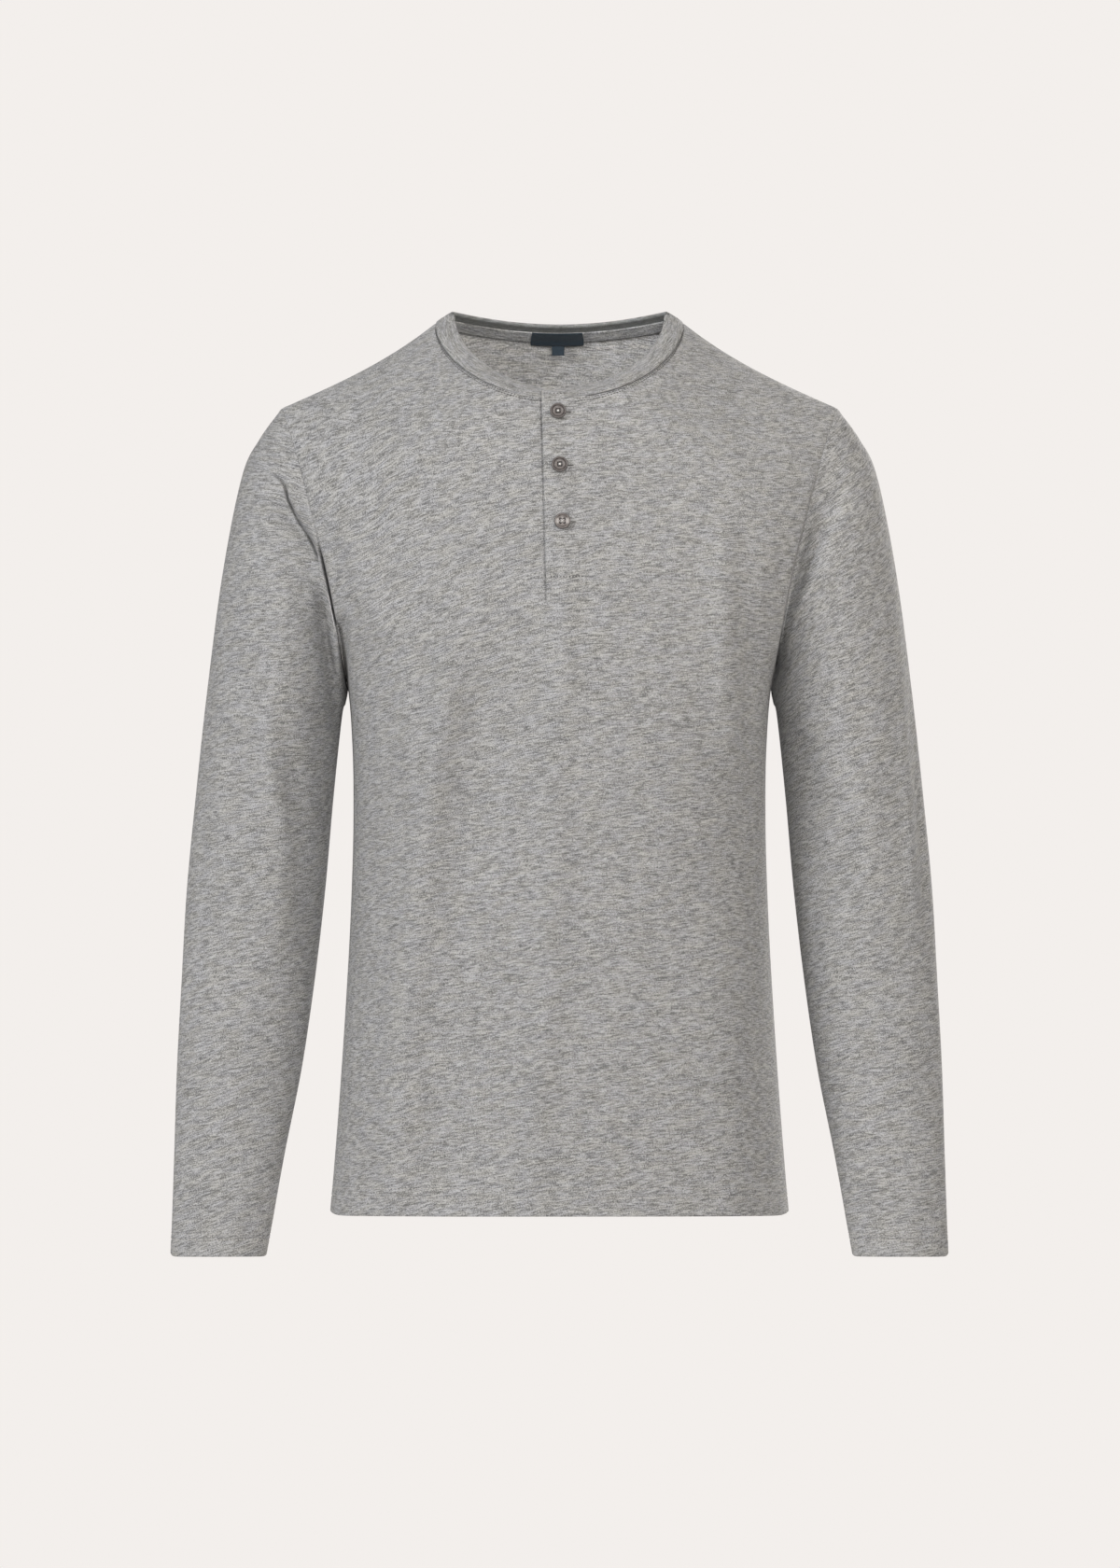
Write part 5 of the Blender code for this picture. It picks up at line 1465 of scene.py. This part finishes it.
def placket_stitches():
    """The placket's rows of stitches: the dark ones across its box and its top, a solid dark line along the
    slot of each buttonhole as painted shade in its slit, and the pale ones round the box, the strip's top
    corner and the slots."""
    over, _, climbed = over_strip()
    away = outward(over, closed=True)
    face = np.arange(over.shape[1] - len(PLACKET_OFFSETS[SLIT_LAST:]) - 15, over.shape[1] - 2)

    def strip_row(height, first, last):
        """A line across the strip's outer face at a distance above its foot."""
        row = int(np.searchsorted(climbed, height)) - 1
        share = (height - climbed[row]) / (climbed[row + 1] - climbed[row])
        columns = face[first:last]
        return (over[row, columns] * (1 - share) + over[row + 1, columns] * share,
                unit(away[row, columns] + away[row + 1, columns]))

    dark = [stitch_row(*strip_row(BOX_TOP, 1, -1), BOX_TOP_STITCH),
            stitch_row(*strip_row(climbed[-1] - 0.0042, 1, 10), STRIP_TOP_STITCH)]
    low, high = np.searchsorted(climbed, (0.0016, BOX_TOP))
    pale = [stitch_row(*strip_row(0.0018, 1, -2), BOX_STITCH)]
    for column in (2, -3):
        side = over[low:high + 1, face[column]]
        pale.append(stitch_row(side, away[low:high + 1, face[2]], BOX_STITCH))
    rim = np.searchsorted(climbed, climbed[-1] - 0.0130)
    corner, corner_out = (np.concatenate([values[rim:, face[0] - 1], values[last, face[1:11]]])
                          for values, last in ((over, -1), (away, -2)))
    pale.append(stitch_row(corner, corner_out, CORNER_STITCH))
    # Each buttonhole: a solid dark line as painted shade in its slit, and pale stitches either side.
    for button in BUTTONS:
        for end, height, stitch, rows in ((0.0108, 0.0, SLOT_SHADE_LINE, dark),
                                          (0.0114, 0.00062, SLOT_SIDE_STITCH, pale),
                                          (0.0114, -0.00062, SLOT_SIDE_STITCH, pale)):
            at = np.linspace(0.0062, end, 12) + button.offset
            lift = 0.0018 * (1 - ease((at - SLIT_EDGES[0]) / (SLIT_EDGES[1] - SLIT_EDGES[0])))
            spots = [placket_spot(offset, button.height + height, up) for offset, up in zip(at, lift)]
            rows.append(stitch_row(*(np.array([spot[k] for spot in spots]) for k in (0, 3)), stitch))
    return dark, pale


class HENLEY_OT_stitching(bpy.types.Operator):
    """Make the stitching of hem, cuffs, collar and placket"""

    bl_idname = "henley.stitching"
    bl_label = "Stitching"

    def execute(self, context):
        pitch = context.scene.henley_trim.stitch
        share, radius, arch = HEM_THREAD
        hem_stitch = Stitch(pitch, pitch * share, radius, arch)
        grey, dark = finish_named("grey_thread"), finish_named("dark_thread")
        halves = [(panel[0] + shift, panel[1], panel[3], panel[4])
                  for panel, shift in ((front_panel(), -HALF_GAP), (back_panel(), HALF_GAP))]
        rows = []
        for row_z in HEM_STITCH_ROWS:
            for grid, out, z, _ in halves:
                row = int(np.argmin(np.abs(z[:, z.shape[1] // 2] - row_z)))
                rows.append(stitch_row(grid[row], out[row], hem_stitch))
        stitch_piece("hem_stitching", rows, grey)

        for name, side in (("left", 1), ("right", -1)):
            grid, out, z = sleeve_surface(side)
            mirror = np.array([side, 1.0, 1.0])
            ring = np.append(np.arange(grid.shape[1]), 0)
            rows = []
            for row_z in CUFF_STITCH_ROWS:
                row = int(np.argmin(np.abs(z[:, z.shape[1] // 4] - row_z)))
                rows.append(stitch_row(grid[row][ring] * mirror, out[row][ring] * mirror, hem_stitch))
            stitch_piece(f"cuff_stitching_{name}", rows, grey)

        dark_rows, pale_rows = placket_stitches()
        stitch_piece("placket_stitching", dark_rows, dark)
        stitch_piece("placket_binding", pale_rows, grey)

        rows = []
        for below in COLLAR_STITCH_ROWS:
            for grid, out, _, neck in halves:
                climbed = travelled(grid, 0)
                middle = grid.shape[1] // 2
                row = int(np.argmin(np.abs(climbed[-1, middle] - climbed[:, middle] - below)))
                rows.append(stitch_row(grid[row, neck], out[row, neck], COLLAR_STITCH))
        stitch_piece("collar_stitching", rows, dark)
        return {"FINISHED"}


def make_floor(height):
    """A pale round floor that fades out at its edge."""
    finish = Finish("pale_floor")
    place = finish.node("ShaderNodeTexCoord", {}, {}, output=3)
    grain = finish.node("ShaderNodeTexNoise", {}, {"Vector": place, "Scale": 9.0, "Detail": 4.0})
    middle_out = finish.node("ShaderNodeVectorMath", {"operation": "LENGTH"}, {0: place}, output=1)
    fade = 1 - finish.clamp((middle_out - 1.5) / 0.9)
    finish.surface(Base_Color=finish.mix(grain, (0.78, 0.76, 0.74, 1.0), (0.82, 0.80, 0.78, 1.0)),
                   Roughness=0.8, Alpha=fade)
    turn = np.arange(96) / 96 * 2 * pi
    r = np.linspace(0.0005, 2.4, 24)[:, None]
    grid = points(r * np.cos(turn), r * np.sin(turn), height)
    mesh = grid_mesh("floor", grid, np.zeros((24, 97, 2)), closed=True, flipped=True)
    floor = bpy.data.objects.new("floor", mesh)
    mesh.materials.append(finish.material)
    bpy.context.scene.collection.objects.link(floor)


def make_air(backdrop, fill_strength):
    """The surroundings: the backdrop's colour where the camera sees them, and dimmer as light."""
    world = bpy.data.worlds.new("studio_air")
    world.use_nodes = True
    nodes, links = world.node_tree.nodes, world.node_tree.links
    seen, fill = nodes["Background"], nodes.new("ShaderNodeBackground")
    for sky, strength in ((seen, 1.0), (fill, fill_strength)):
        sky.inputs["Color"].default_value = (*backdrop, 1.0)
        sky.inputs["Strength"].default_value = strength
    ray, either = nodes.new("ShaderNodeLightPath"), nodes.new("ShaderNodeMixShader")
    links.new(ray.outputs["Is Camera Ray"], either.inputs[0])
    links.new(fill.outputs[0], either.inputs[1])
    links.new(seen.outputs[0], either.inputs[2])
    links.new(either.outputs[0], nodes["World Output"].inputs["Surface"])
    bpy.context.scene.world = world


def make_lamp(lamp, power):
    """A square lamp that faces the shirt's middle."""
    light = bpy.data.lights.new(lamp.name, "AREA")
    light.energy = power * lamp.share
    light.color = lamp.colour
    light.size = lamp.size
    item = bpy.data.objects.new(lamp.name, light)
    item.location = lamp.place
    item.rotation_euler = (SHIRT_MIDDLE - Vector(lamp.place)).to_track_quat("-Z", "Y").to_euler()
    item.visible_camera = False
    bpy.context.scene.collection.objects.link(item)


def make_camera(distance):
    """A level camera in front of the shirt, far off and long."""
    lens = bpy.data.cameras.new("studio_camera")
    lens.sensor_width = 36.0
    lens.lens = lens.sensor_width * distance / FRAME_HEIGHT
    lens.clip_end = distance * 3
    camera = bpy.data.objects.new("studio_camera", lens)
    camera.location = SHIRT_MIDDLE + Vector((0.0, -distance, 0.0))
    camera.rotation_euler = (radians(90.0), 0.0, 0.0)
    bpy.context.scene.collection.objects.link(camera)
    bpy.context.scene.camera = camera


class HENLEY_OT_studio(bpy.types.Operator):
    """Make the floor, the lights and the camera"""

    bl_idname = "henley.studio"
    bl_label = "Studio"

    def execute(self, context):
        studio = context.scene.henley_studio
        make_floor(studio.floor_height)
        make_air(studio.backdrop, studio.fill)
        context.scene.view_settings.view_transform = "Standard"
        for lamp in LAMPS:
            make_lamp(lamp, studio.key_power)
        make_camera(studio.camera_distance)
        return {"FINISHED"}


class HENLEY_PT_sidebar(bpy.types.Panel):
    """Lists the shirt's settings and steps"""

    bl_idname = "HENLEY_PT_sidebar"
    bl_label = "Henley Shirt"
    bl_space_type = "VIEW_3D"
    bl_region_type = "UI"
    bl_category = "Henley"

    def draw(self, context):
        for group in (context.scene.henley_cloth, context.scene.henley_trim, context.scene.henley_studio):
            box = self.layout.box()
            for name in group.__annotations__:
                box.prop(group, name)
        for step in STEPS:
            self.layout.operator(step.bl_idname)


SETTINGS = {"henley_cloth": HenleyCloth, "henley_trim": HenleyTrim, "henley_studio": HenleyStudio}
STEPS = (HENLEY_OT_panels, HENLEY_OT_sleeves, HENLEY_OT_neckband, HENLEY_OT_placket, HENLEY_OT_neck_tape,
         HENLEY_OT_buttons, HENLEY_OT_stitching, HENLEY_OT_studio)


def register():
    """Register the settings, the steps and the panel."""
    for name, group in SETTINGS.items():
        bpy.utils.register_class(group)
        setattr(bpy.types.Scene, name, bpy.props.PointerProperty(type=group))
    for item in (*STEPS, HENLEY_PT_sidebar):
        bpy.utils.register_class(item)


def unregister():
    """Undo register."""
    for item in (HENLEY_PT_sidebar, *reversed(STEPS)):
        bpy.utils.unregister_class(item)
    for name, group in SETTINGS.items():
        delattr(bpy.types.Scene, name)
        bpy.utils.unregister_class(group)


def main():
    """Make the shirt and its studio."""
    register()
    for step in STEPS:
        area, name = step.bl_idname.split(".")
        getattr(getattr(bpy.ops, area), name)()


if __name__ == "__main__":
    main()
